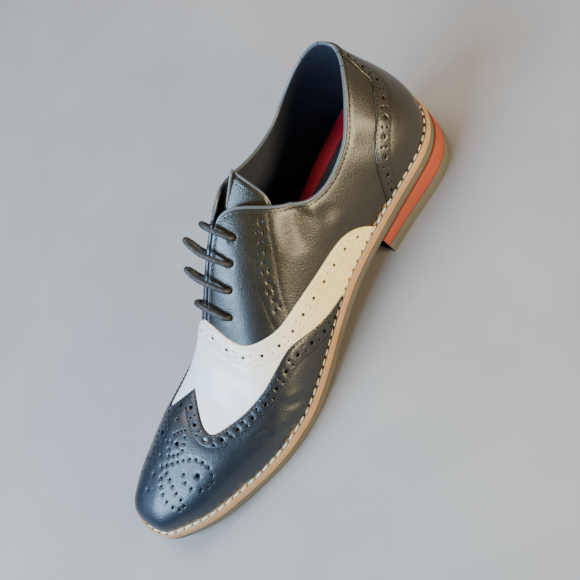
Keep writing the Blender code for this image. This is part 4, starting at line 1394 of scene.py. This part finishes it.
# Medallion, half of it: across and along on the flat pattern in mm, and whether the hole is large
MEDALLION = [
    (7.0, 248.5, 1), (25.5, 256.5, 1),
    (3.0, 245.0, 0), (4.6, 242.9, 0), (6.2, 241.0, 0), (8.0, 239.4, 0), (9.6, 242.9, 0), (10.9, 246.1, 0),
    (11.8, 249.4, 0), (10.1, 252.6, 0), (7.6, 255.1, 0), (5.0, 257.0, 0), (3.6, 253.4, 0), (3.2, 249.3, 0),
    (3.2, 264.8, 0), (5.8, 262.2, 0), (8.7, 259.3, 0), (11.6, 256.4, 0), (14.6, 253.5, 0), (17.8, 250.9, 0),
    (21.3, 249.2, 0), (25.2, 248.6, 0), (29.4, 249.3, 0), (32.8, 251.6, 0), (34.4, 255.0, 0),
    (33.4, 259.0, 0), (30.4, 262.6, 0), (25.0, 264.6, 0), (20.4, 263.6, 0), (17.8, 260.2, 0),
    (7.5, 265.8, 0), (10.9, 267.2, 0), (14.2, 269.3, 0), (17.8, 271.5, 0), (21.8, 273.6, 0), (24.8, 276.4, 0),
    (23.0, 279.6, 0), (18.6, 279.8, 0), (13.8, 278.1, 0), (9.9, 275.3, 0), (7.1, 272.3, 0), (5.0, 269.0, 0),
]
MEDALLION_MIDDLE = [237.0, 250.8, 260.0, 269.5, 277.5]
MEDALLION_LARGE = 1.25 * MM
MEDALLION_SMALL = 0.62 * MM

# From one large hole to the next, in every row
HOLE_PITCH = 11 * MM

# Where the overlays end at the feather edge, as a place up the upper
FOOT = -0.004


def flat_line(pattern, places):
    places = np.array(places, float)
    steps = np.arange(len(places))
    ws, ts = spline(list(zip(steps, places[:, 0]))), spline(list(zip(steps, places[:, 1])))
    fine = np.linspace(0, len(places) - 1, 12 * len(places))
    return pattern.flat(ws(fine), ts(fine))


def even_places(pattern, line, pitch, start):
    """Flat points at even distances on the surface along a flat line, and the way along it."""
    line = resample(line, 0.4 * MM)
    path, _ = route(pattern, line, 0.0)
    run = np.r_[0, np.cumsum(np.linalg.norm(np.diff(path, axis=0), axis=1))]
    at = np.arange(start * pitch, run[-1] - 0.3 * pitch, pitch)
    x = np.stack([np.interp(at, run, line[:, k]) for k in range(2)], -1)
    way = np.gradient(line, axis=0)
    way = np.stack([np.interp(at, run, way[:, k]) for k in range(2)], -1)
    return x, way / np.linalg.norm(way, axis=1)[:, None]


def brogue(pattern, line, big, small, apart, start, slant=0.0):
    """A row of large holes with a pair of small ones between each two."""
    holes = []
    for (x, y), _ in zip(*even_places(pattern, line, HOLE_PITCH, start)):
        holes.append((x, y, big))
    for (x, y), (wx, wy) in zip(*even_places(pattern, line, HOLE_PITCH, start + 0.5)):
        for side in (-1, 1):
            dx, dy = -wy * side * apart / 2 + wx * slant * side, wx * side * apart / 2 + wy * slant * side
            holes.append((x + dx, y + dy, small))
    return holes


def clear_of(holes, outline, others=(), margin=0.6 * MM):
    border = tree_of(resample(outline, 0.3 * MM, closed=True))
    kept = []
    for x, y, r in holes:
        good = border.find((x, y, 0))[2] > r + margin and inside(np.array([[x, y]]), outline)[0]
        good = good and all(math.hypot(x - a, y - b) > r + s + 0.35 * MM for a, b, s in list(others) + kept)
        if good:
            kept.append((x, y, r))
    return kept


def inward(edge, outline, distance):
    """Which way to offset an edge so that it moves into its outline."""
    trial = offset(resample(edge, 1.0 * MM), distance)
    return distance if inside(trial, outline).mean() > 0.5 else -distance


def rows_inside(edge, outline, distance):
    border = tree_of(resample(edge, 0.3 * MM))
    return inner_rows(edge, inward(edge, outline, distance), border)


# Where the collar turns into the facings and is drawn with more points, and where its smoothing
# ends and over how much of the way round it fades
CORNER = (0.40, 0.48)
SMOOTH_END = 0.49
SMOOTH_FADE = 0.02


def top_edge(low, high, count):
    """Edge of the collar and the facings as w and t, smoothed along the collar."""
    w, corner = np.linspace(low, high, count), np.linspace(*CORNER, 120)
    fine = np.sort(np.unique(np.r_[w, corner, -corner]))
    fine = fine[(fine >= low) & (fine <= high)]
    smooth = np.mean([opening(fine + shift) for shift in np.linspace(-0.012, 0.012, 9)], axis=0)
    share = np.clip((SMOOTH_END - np.abs(fine)) / SMOOTH_FADE, 0, 1)
    return fine, opening(fine) * (1 - share) + smooth * share


def within(line, outline, margin):
    """The part of a line that keeps a margin inside an outline."""
    border = tree_of(resample(outline, 0.3 * MM, closed=True))
    return line[inside(line, outline) & (nearest(border, line) > margin)]


# Where the quarters end under the vamp, as a place round, and how deep they reach
QUARTERS_END = 0.66
QUARTERS_LOW = -0.95 * MM


def make_quarters():
    """The black base of the upper, from under the vamp round the heel, with the facings' holes."""
    w, t = top_edge(-QUARTERS_END, QUARTERS_END, 400)
    foot = np.linspace(-QUARTERS_END, QUARTERS_END, 200)
    outline = np.concatenate([side_flat(foot, np.zeros(200)), side_flat(w, t)[::-1]])
    eyelets = []
    for angle, lateral, medial in eyelet_places():
        for place, up in ((angle, lateral), (-angle, medial)):
            x, y = side_flat([place], [up])[0]
            eyelets.append((x, y, EYELET_HOLE))
    edge = side_flat(w, t)[(np.abs(w) < THROAT_ANGLE)]
    seams = rows_inside(edge, outline, 2.3 * MM)
    punched = []
    for side in (1, -1):
        for row in (STRIP_INNER, STRIP_OUTER):
            seams.append(within(flat_line(SIDE, [(a * side, b) for a, b in row]), outline, 2.6 * MM))
        line = flat_line(SIDE, [(a * side, b) for a, b in STRIP_HOLES])
        punched += brogue(SIDE, line, big=1.25 * MM, small=0.75 * MM, apart=3.4 * MM, start=0.55)
    holes = eyelets + clear_of(punched, outline, eyelets)
    made = panel(
        "quarters", SIDE, outline, QUARTERS_LOW, 0.0, black, holes, seams, rows=(0.5,), pitch=1.8 * MM
    )
    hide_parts("upper")
    rows = [route(SIDE, s, -0.02 * MM) for s in seams]
    thread = sew("quarter_stitches", rows, black_thread, pitch=2.9 * MM, length=2.2 * MM, radius=0.27 * MM)


# Mesh of the lining, and how deep its outer face lies
LINING_PLACES = 420
LINING_ROWS = 34
LINING_DEPTH = 0.97 * MM


def make_lining():
    """Inner face of the upper as one thin shell."""
    places = np.linspace(0, 2, LINING_PLACES + 1)[:-1]
    count, rows = LINING_PLACES, LINING_ROWS
    edge = opening(places)
    layers = []
    base = []
    for row in range(rows + 1):
        t = edge * (row / rows)
        point, normal = surface(places, np.minimum(t, 0.9995))
        base.append((point, normal, relief(point)))
    for depth in (LINING_DEPTH, WALL):
        for point, normal, raised in base:
            layers.append(point + normal * (raised - depth)[:, None])
    points = np.concatenate(layers)
    size = (rows + 1) * count
    faces = []
    for i in range(count):
        j = (i + 1) % count
        for row in range(rows):
            a, b = row * count, (row + 1) * count
            faces.append((a + i, a + j, b + j, b + i))
            faces.append((size + b + i, size + b + j, size + a + j, size + a + i))
        faces.append((size + i, size + j, j, i))
        top = rows * count
        if edge[i] < 1 or edge[j] < 1:
            faces.append((top + i, top + j, size + top + j, size + top + i))
    made = new_object("lining", points, faces, lining)
    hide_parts("upper")


# Dark joins across the rim at the heel, as places round the shoe
RIM_BANDS = (-0.084, -0.020, 0.047, 0.082)
RIM_RADIUS = 1.02 * MM
BAND_RADIUS = 1.12 * MM


def make_rim():
    """Turned edge round the collar and the facings."""
    w, t = top_edge(-THROAT_ANGLE + 0.004, THROAT_ANGLE - 0.004, 500)
    flat = resample(side_flat(w, t), 0.8 * MM)
    ws, ts = SIDE.places(flat)
    point, normal = surface(ws, ts)
    raised = relief(point)
    path = point + normal * (raised - WALL / 2)[:, None]
    # The rim's pale blue-grey colour is painted highlight on black leather
    made = tube("turned_rim", path, RIM_RADIUS, sky_sheen_piping, normals=normal)
    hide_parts("upper")
    for number, place in enumerate(RIM_BANDS):
        middle = int(np.argmin(np.abs(ws - place)))
        short = slice(middle - 1, middle + 1)
        band = tube(f"rim_band_{number}", path[short], BAND_RADIUS, black_thread, normals=normal[short])


def overlay_edge(table, side):
    count = len(table)
    along = spline([(i, row[0] * LENGTH) for i, row in enumerate(table)])
    share = spline([(i, row[1]) for i, row in enumerate(table)])
    steps = np.linspace(0, count - 1, (count - 1) * 12 + 1)
    angle = angle_of(along(steps))
    return (angle if side > 0 else 2 - angle), 1 - share(steps)


def front_outline(table):
    """Edge of an overlay from the medial foot over the ridge to the lateral foot, on the flat pattern."""
    lw, lt = overlay_edge(table, 1)
    mw, mt = overlay_edge(table, -1)
    w, t = np.r_[mw[::-1], lw[1:]], np.r_[mt[::-1], lt[1:]]
    keep = t > -0.012
    return w[keep], t[keep]


def foot_run(start, stop, count=160):
    w = np.linspace(start, stop, count)
    return w[1:-1], np.full(count - 2, FOOT)


# How far the vamp runs on under the wingtip, as a share of the way round
VAMP_UNDER = 3.0 * MM / LENGTH * 1.4


def make_vamp():
    ew, et = front_outline(VAMP_EDGE)
    bw, bt = front_outline(WING_EDGE)
    uw = np.where(bw <= 1, bw + VAMP_UNDER, bw - VAMP_UNDER)
    fw1, ft1 = foot_run(ew[-1], uw[-1])
    fw2, ft2 = foot_run(uw[0], ew[0])
    w = np.r_[ew, fw1, uw[::-1], fw2]
    t = np.r_[et, ft1, bt[::-1], ft2]
    outline = chart(w, t)
    edge = chart(ew, et)
    first = rows_inside(edge, outline, 1.6 * MM)
    second = rows_inside(edge, outline, 9.0 * MM)
    holes = []
    for row in rows_inside(edge, outline, 5.5 * MM):
        holes += brogue(FRONT, row, big=1.08 * MM, small=0.45 * MM, apart=2.4 * MM, start=0.4, slant=0.5 * MM)
    holes = clear_of(holes, outline)
    made = panel("white_vamp", FRONT, outline, GAP * 0.3, 1.3 * MM, white, holes, first + second)
    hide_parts("vamp")
    rows = [route(FRONT, s, 1.2 * MM) for s in first + second]
    thread = sew("vamp_stitches", rows, white_thread, pitch=2.1 * MM, length=1.5 * MM, radius=0.17 * MM)


def make_wing():
    ew, et = front_outline(WING_EDGE)
    fw, ft = foot_run(ew[-1], ew[0], 300)
    outline = chart(np.r_[ew, fw], np.r_[et, ft])
    edge = chart(ew, et)
    first = rows_inside(edge, outline, 1.3 * MM)
    second = rows_inside(edge, outline, 8.3 * MM)
    holes = []
    for row in rows_inside(edge, outline, 4.8 * MM):
        holes += brogue(
            FRONT, row, big=1.15 * MM, small=0.62 * MM, apart=3.0 * MM, start=0.45, slant=0.4 * MM
        )
    dots = []
    for x, y, big in MEDALLION:
        for side in (1, -1):
            dots.append((side * x * MM, y * MM, MEDALLION_LARGE if big else MEDALLION_SMALL))
    dots += [(0.0, y * MM, MEDALLION_SMALL) for y in MEDALLION_MIDDLE]
    holes = clear_of(dots, outline) + clear_of(holes, outline, dots)
    made = panel("wing_cap", FRONT, outline, GAP, WINGTIP + 0.3 * MM, black, holes, first + second)
    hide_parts("wingtip")
    rows = [route(FRONT, s, WINGTIP + 0.24 * MM) for s in first + second]
    thread = sew("wing_stitches", rows, black_thread, pitch=2.7 * MM, length=2.0 * MM, radius=0.27 * MM)


# How far the counter stays below the collar's edge
COUNTER_MARGIN = 1.1 * MM


def make_counter():
    angle = spline([(i, row[0]) for i, row in enumerate(COUNTER_EDGE)])
    height = spline([(i, row[1]) for i, row in enumerate(COUNTER_EDGE)])
    steps = np.linspace(0, len(COUNTER_EDGE) - 1, 200)
    w, t = angle(steps), height(steps)
    room = opening(w) - COUNTER_MARGIN / girth(w)
    keep = (t > FOOT) & (t < room)
    w, t = w[keep], t[keep]
    head = np.linspace(-w[0], w[0], 40)
    foot, level = foot_run(w[-1], -w[-1], 120)
    ow = np.r_[head, w, foot, -w[::-1]]
    ot = np.r_[opening(head) - COUNTER_MARGIN / girth(head), t, level, t[::-1]]
    outline = side_flat(ow, ot)
    seams, holes = [], []
    for side in (1, -1):
        edge = side_flat(w * side, t)
        seams += rows_inside(edge, outline, 1.4 * MM) + rows_inside(edge, outline, 8.6 * MM)
        for row in rows_inside(edge, outline, 5.0 * MM):
            holes += brogue(SIDE, row, big=1.1 * MM, small=0.5 * MM, apart=2.8 * MM, start=0.35)
    holes = clear_of(holes, outline)
    made = panel("heel_counter", SIDE, outline, GAP * 0.3, OVERLAY + 0.3 * MM, black, holes, seams)
    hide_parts("counter")
    rows = [route(SIDE, s, OVERLAY + 0.22 * MM) for s in seams]
    thread = sew("counter_stitches", rows, black_thread, pitch=2.6 * MM, length=1.9 * MM, radius=0.25 * MM)


def tongue_places(along, across, depth):
    """Points of the tongue: past its bend it runs on straight."""
    foot = np.maximum(along, TONGUE_BEND)
    angle = angle_of(foot)
    w = np.where(across >= 0, angle, 2 - angle)
    point, normal = surface(w, 1 - np.abs(across) / girth(w))
    rise = (ridge_height(foot) - ridge_height(foot + MM)) / MM
    onward = np.stack([np.zeros(len(foot)), np.ones(len(foot)), rise], 1) * (foot - along)[:, None]
    return point - normal * depth[:, None] + onward, normal


# Mesh of the tongue: its rows, its columns each side of the middle, all its columns, and how far
# its edges are rounded off
TONGUE_ROWS = 64
TONGUE_SIDE = 22
TONGUE_COLUMNS = 2 * TONGUE_SIDE + 1
TONGUE_ROLL = 0.9 * MM

# The tongue's top leans to the lateral side, and its medial corner curls up
LEAN_RUN = 40 * MM
LEAN_LATERAL = 0.95
LEAN_MEDIAL = 0.8
CURL_RUN = 26 * MM
CURL_START = 0.35
CURL_HEIGHT = 8 * MM
CURL_WAY = (0.8, 0.5, 0.0)

# Row and column of the tongue's mesh that its stitches follow
STITCH_ROW = 3
STITCH_COLUMN = 2


def tongue_face():
    """Outer face of the tongue as a grid of points and their normals."""
    shares = np.linspace(-1, 1, TONGUE_COLUMNS)
    along, share = np.meshgrid(np.linspace(TONGUE_TOP, TONGUE_ROOT, TONGUE_ROWS), shares, indexing="ij")
    along, share = along.ravel(), share.ravel()
    corner = 1 - TONGUE_ROUNDING * (1 - np.minimum(1.0, (along - TONGUE_TOP) / TONGUE_CORNER)) ** 2
    taper = 1 - TONGUE_TAPER * np.maximum(0.0, (along - THROAT) / (TONGUE_ROOT - THROAT))
    near_top = np.clip(1 - (along - TONGUE_TOP) / LEAN_RUN, 0, 1)
    lean = np.where(share > 0, 1 + LEAN_LATERAL * near_top, 1 - LEAN_MEDIAL * near_top)
    across = share * lean * TONGUE_HALF_WIDTH * corner * taper
    point, normal = tongue_places(along, across, tongue_depth(along))
    curl = np.maximum(0.0, -share - CURL_START) ** 2 * np.maximum(0.0, 1 - (along - TONGUE_TOP) / CURL_RUN)
    rise = (curl * CURL_HEIGHT)[:, None]
    point += normal * rise + np.array(CURL_WAY) * rise
    shape = (TONGUE_ROWS, TONGUE_COLUMNS, 3)
    return point.reshape(shape), normal.reshape(shape)


def tongue_slab(grid, normals):
    """Points and faces of the tongue, with both faces rounded off at its edges."""
    rows, across, half = TONGUE_ROWS, TONGUE_COLUMNS, TONGUE_SIDE
    from_top = np.linspace(TONGUE_TOP, TONGUE_ROOT, rows) - TONGUE_TOP
    from_side = TONGUE_HALF_WIDTH * (1 - np.abs(np.arange(across) - half) / half)
    edge = np.clip(np.minimum(from_top[:, None], from_side[None]) / (1.0 * MM), 0, 1)
    puff = np.sqrt(np.clip(1 - (1 - edge) ** 2, 0, 1))
    top = grid - normals * ((1 - puff) * TONGUE_ROLL)[..., None]
    bottom = grid - normals * (TONGUE - (1 - puff) * TONGUE_ROLL)[..., None]
    size = rows * across
    faces = []
    for r in range(rows - 1):
        for c in range(across - 1):
            q = (r * across + c, r * across + c + 1, (r + 1) * across + c + 1, (r + 1) * across + c)
            faces += [q[::-1], tuple(i + size for i in q)]
    rim = list(range(across))
    rim += [r * across + across - 1 for r in range(1, rows)]
    rim += [(rows - 1) * across + c for c in range(across - 2, -1, -1)]
    rim += [r * across for r in range(rows - 2, 0, -1)]
    for i, j in zip(rim, rim[1:] + rim[:1]):
        faces.append((i, j, j + size, i + size))
    return np.concatenate([top.reshape(-1, 3), bottom.reshape(-1, 3)]), faces


def make_tongue_edge(grid, normals):
    """Rolled edge round the tongue's top."""
    middle = grid - normals * TONGUE * 0.45
    lip = np.concatenate([middle[14:0:-1, 0], middle[0, 1:-1], middle[1:24, -1]])
    lip = resample(smooth_path(lip[::3], 0.8 * MM), 0.8 * MM)
    # Its pale colour is painted highlight on black leather
    edge = tube("tongue_edge", lip, 0.75 * MM, sky_sheen_piping, 10)


def make_tongue_stitches(grid, normals):
    """One row of stitches up the medial side, over the top and down the lateral side."""
    middle, last = TONGUE_ROWS // 2, TONGUE_COLUMNS - STITCH_COLUMN
    places = [(r, STITCH_COLUMN) for r in range(middle, STITCH_ROW, -1)]
    places += [(STITCH_ROW, c) for c in range(STITCH_COLUMN, last)]
    places += [(r, last - 1) for r in range(STITCH_ROW, middle)]
    r, c = np.array(places).T
    fine = resample(np.concatenate([grid[r, c], normals[r, c]], 1), 0.5 * MM)
    up = fine[:, 3:] / np.linalg.norm(fine[:, 3:], axis=1)[:, None]
    rows = [(fine[:, :3] + up * 0.05 * MM, up)]
    thread = sew("tongue_stitches", rows, black_thread, pitch=2.7 * MM, length=2.0 * MM, radius=0.25 * MM)


def make_tongue():
    grid, normals = tongue_face()
    points, faces = tongue_slab(grid, normals)
    made = new_object("tongue_leather", points, faces, black)
    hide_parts("tongue")
    make_tongue_edge(grid, normals)
    make_tongue_stitches(grid, normals)


def over_ridge(angle, across, height):
    """A point over the instep at a girth from the ridge, lateral side first, and a height off the last."""
    sides = [angle, 2 - angle] if across >= 0 else [2 - angle, angle]
    share = 1 - abs(across) / float(girth(sides[:1])[0])
    points, normals = surface(sides, [share, 0.99])
    blend = 0.5 * max(0.0, 1 - abs(across) / RIDGE_OFFSET)
    normal = normals[0] * (1 - blend) + normals[1] * blend
    return points[0] + normal / np.linalg.norm(normal) * height


# How far each bar stands off on the medial side and leans to the heel, from the throat up
SLACK = (0.0 * MM, 6.0 * MM, 8.0 * MM, 1.0 * MM)
SLACK_LEAN = 0.6
BRAID = 0.19
BRAID_LAY = 3.4 * MM


def lace_route():
    under = -(WALL + 3 * GAP + LACE_DIAMETER / 2)
    places = [along_of(angle) for angle, _, _ in eyelet_places()]
    path = []
    for i, (along, arch) in enumerate(zip(places, BAR_ARCH)):
        angle = float(angle_of(along))
        bar = [over_ridge(angle, EYELET_LATERAL, -WALL - 2 * GAP)]
        for reach, lift, share in BAR:
            bar.append(over_ridge(angle, EYELET_LATERAL * reach, LACE_DIAMETER * lift + arch * share))
        for reach, lift, share in BAR[::-1]:
            loose = SLACK[i] * math.sin(math.pi * min(1.0, reach) ** 1.5)
            place = float(angle_of(along - loose * SLACK_LEAN))
            bar.append(over_ridge(place, -EYELET_MEDIAL * reach, LACE_DIAMETER * lift + arch * share + loose))
        bar.append(over_ridge(angle, -EYELET_MEDIAL, -WALL - 2 * GAP))
        path += bar[::-1] if i % 2 else bar
        side = EYELET_LATERAL if i % 2 else -EYELET_MEDIAL
        for share in (0.2, 0.5, 0.8):
            if i + 1 < len(places):
                between = along + (places[i + 1] - along) * share
                path.append(over_ridge(float(angle_of(between)), side, under))
    start_at, end_at = places[0] - EYELET_PITCH / 4, places[-1] - EYELET_PITCH / 4
    side = -EYELET_MEDIAL if len(places) % 2 else EYELET_LATERAL
    first = [over_ridge(float(angle_of(start_at)), EYELET_LATERAL, under)]
    return first + path + [over_ridge(float(angle_of(end_at)), side, under)]


def make_lace():
    path = smooth_path(lace_route(), 0.32 * MM)
    made = tube("braided_lace", path, LACE_DIAMETER / 2, lace_look, 24, braid=BRAID, lay=BRAID_LAY)
    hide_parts("lace")


make_welt()
make_outsole()
make_heel_stack()
make_heel_piece()
make_footbed()
make_quarters()
make_lining()
make_rim()
make_vamp()
make_wing()
make_counter()
make_tongue()
make_lace()


# Floor, light and camera

FLOOR_HALF = 3.0


def make_floor():
    mesh = bpy.data.meshes.new("floor")
    corners = [(x * FLOOR_HALF, y * FLOOR_HALF, 0) for x, y in ((-1, -1), (1, -1), (1, 1), (-1, 1))]
    mesh.from_pydata(corners, [], [(0, 1, 2, 3)])
    mat, shader, links = start("floor_look", 0.85)
    cloud = spread(mat, noise(mat, 9.0, 6.0, 0.6), 0.3, 0.7)
    links.new(mix(mat, cloud, (0.34, 0.31, 0.285), (0.39, 0.36, 0.33)), shader.inputs["Base Color"])
    bump(mat, [(noise(mat, 320.0, 6.0), 0.0004, 0.25)])
    mesh.materials.append(mat)
    made = bpy.data.objects.new("floor", mesh)
    bpy.context.scene.collection.objects.link(made)


def area(name, place, target, size, power, colour):
    """A rectangular light that shines on a target."""
    light = bpy.data.lights.new(name, "AREA")
    light.shape = "RECTANGLE"
    light.size, light.size_y = size
    light.energy = power
    light.color = colour
    made = bpy.data.objects.new(name, light)
    made.location = place
    way = Vector(target) - Vector(place)
    made.rotation_euler = way.to_track_quat("-Z", "Y").to_euler()
    bpy.context.scene.collection.objects.link(made)


def make_lights():
    """A soft light from above, a blue one past the toe and a low golden one beside the shoe."""
    neutral, blue, golden = (1.0, 0.98, 0.98), (0.46, 0.70, 1.0), (1.0, 0.82, 0.50)
    area("key", (-0.55, 0.15, 1.35), target=(0, 0, 0), size=(1.1, 0.9), power=18, colour=neutral)
    area("sky", (-0.10, -0.88, 0.88), target=(0, -0.05, 0.04), size=(1.0, 0.34), power=36, colour=blue)
    area("gold", (1.0, 0.34, 0.22), target=(0, 0.06, 0.05), size=(0.60, 0.26), power=18, colour=golden)


def make_world():
    world = bpy.data.worlds.new("world")
    world.use_nodes = True
    world.node_tree.nodes["Background"].inputs["Color"].default_value = (0.98, 0.98, 1.0, 1)
    world.node_tree.nodes["Background"].inputs["Strength"].default_value = 0.13
    bpy.context.scene.world = world


# The camera as fitted to the photograph: picture size and focal length in pixels, its turn as a
# rotation vector and its place in metres
PICTURE = 580.0
FOCAL = 900.0
FITTED_TURN = (-0.240242, -0.606562, -0.480073)
FITTED_PLACE = (0.367972, -0.007379, 0.421104)
SENSOR = 36.0

# The place in the fitted view, in pixels right and up of its middle, that the camera is turned to
AIM = (-101, 21)


def make_camera():
    """The photograph's own viewpoint, turned to bring the one shoe to the middle."""
    turn = Vector(FITTED_TURN)
    basis = Matrix.Rotation(turn.length, 3, turn.normalized())
    camera = bpy.data.cameras.new("camera")
    camera.sensor_width = SENSOR
    camera.lens = FOCAL / PICTURE * SENSOR
    camera.clip_start = 0.01
    made = bpy.data.objects.new("camera", camera)
    ahead = Vector((0, 0, -1))
    swing = ahead.rotation_difference(Vector((AIM[0] / FOCAL, AIM[1] / FOCAL, -1))).to_matrix()
    turned = basis.transposed() @ swing
    made.matrix_world = Matrix.Translation(Vector(FITTED_PLACE) + Vector((SHIFT, 0, 0))) @ turned.to_4x4()
    bpy.context.scene.collection.objects.link(made)
    bpy.context.scene.camera = made


make_floor()
make_lights()
make_world()
make_camera()
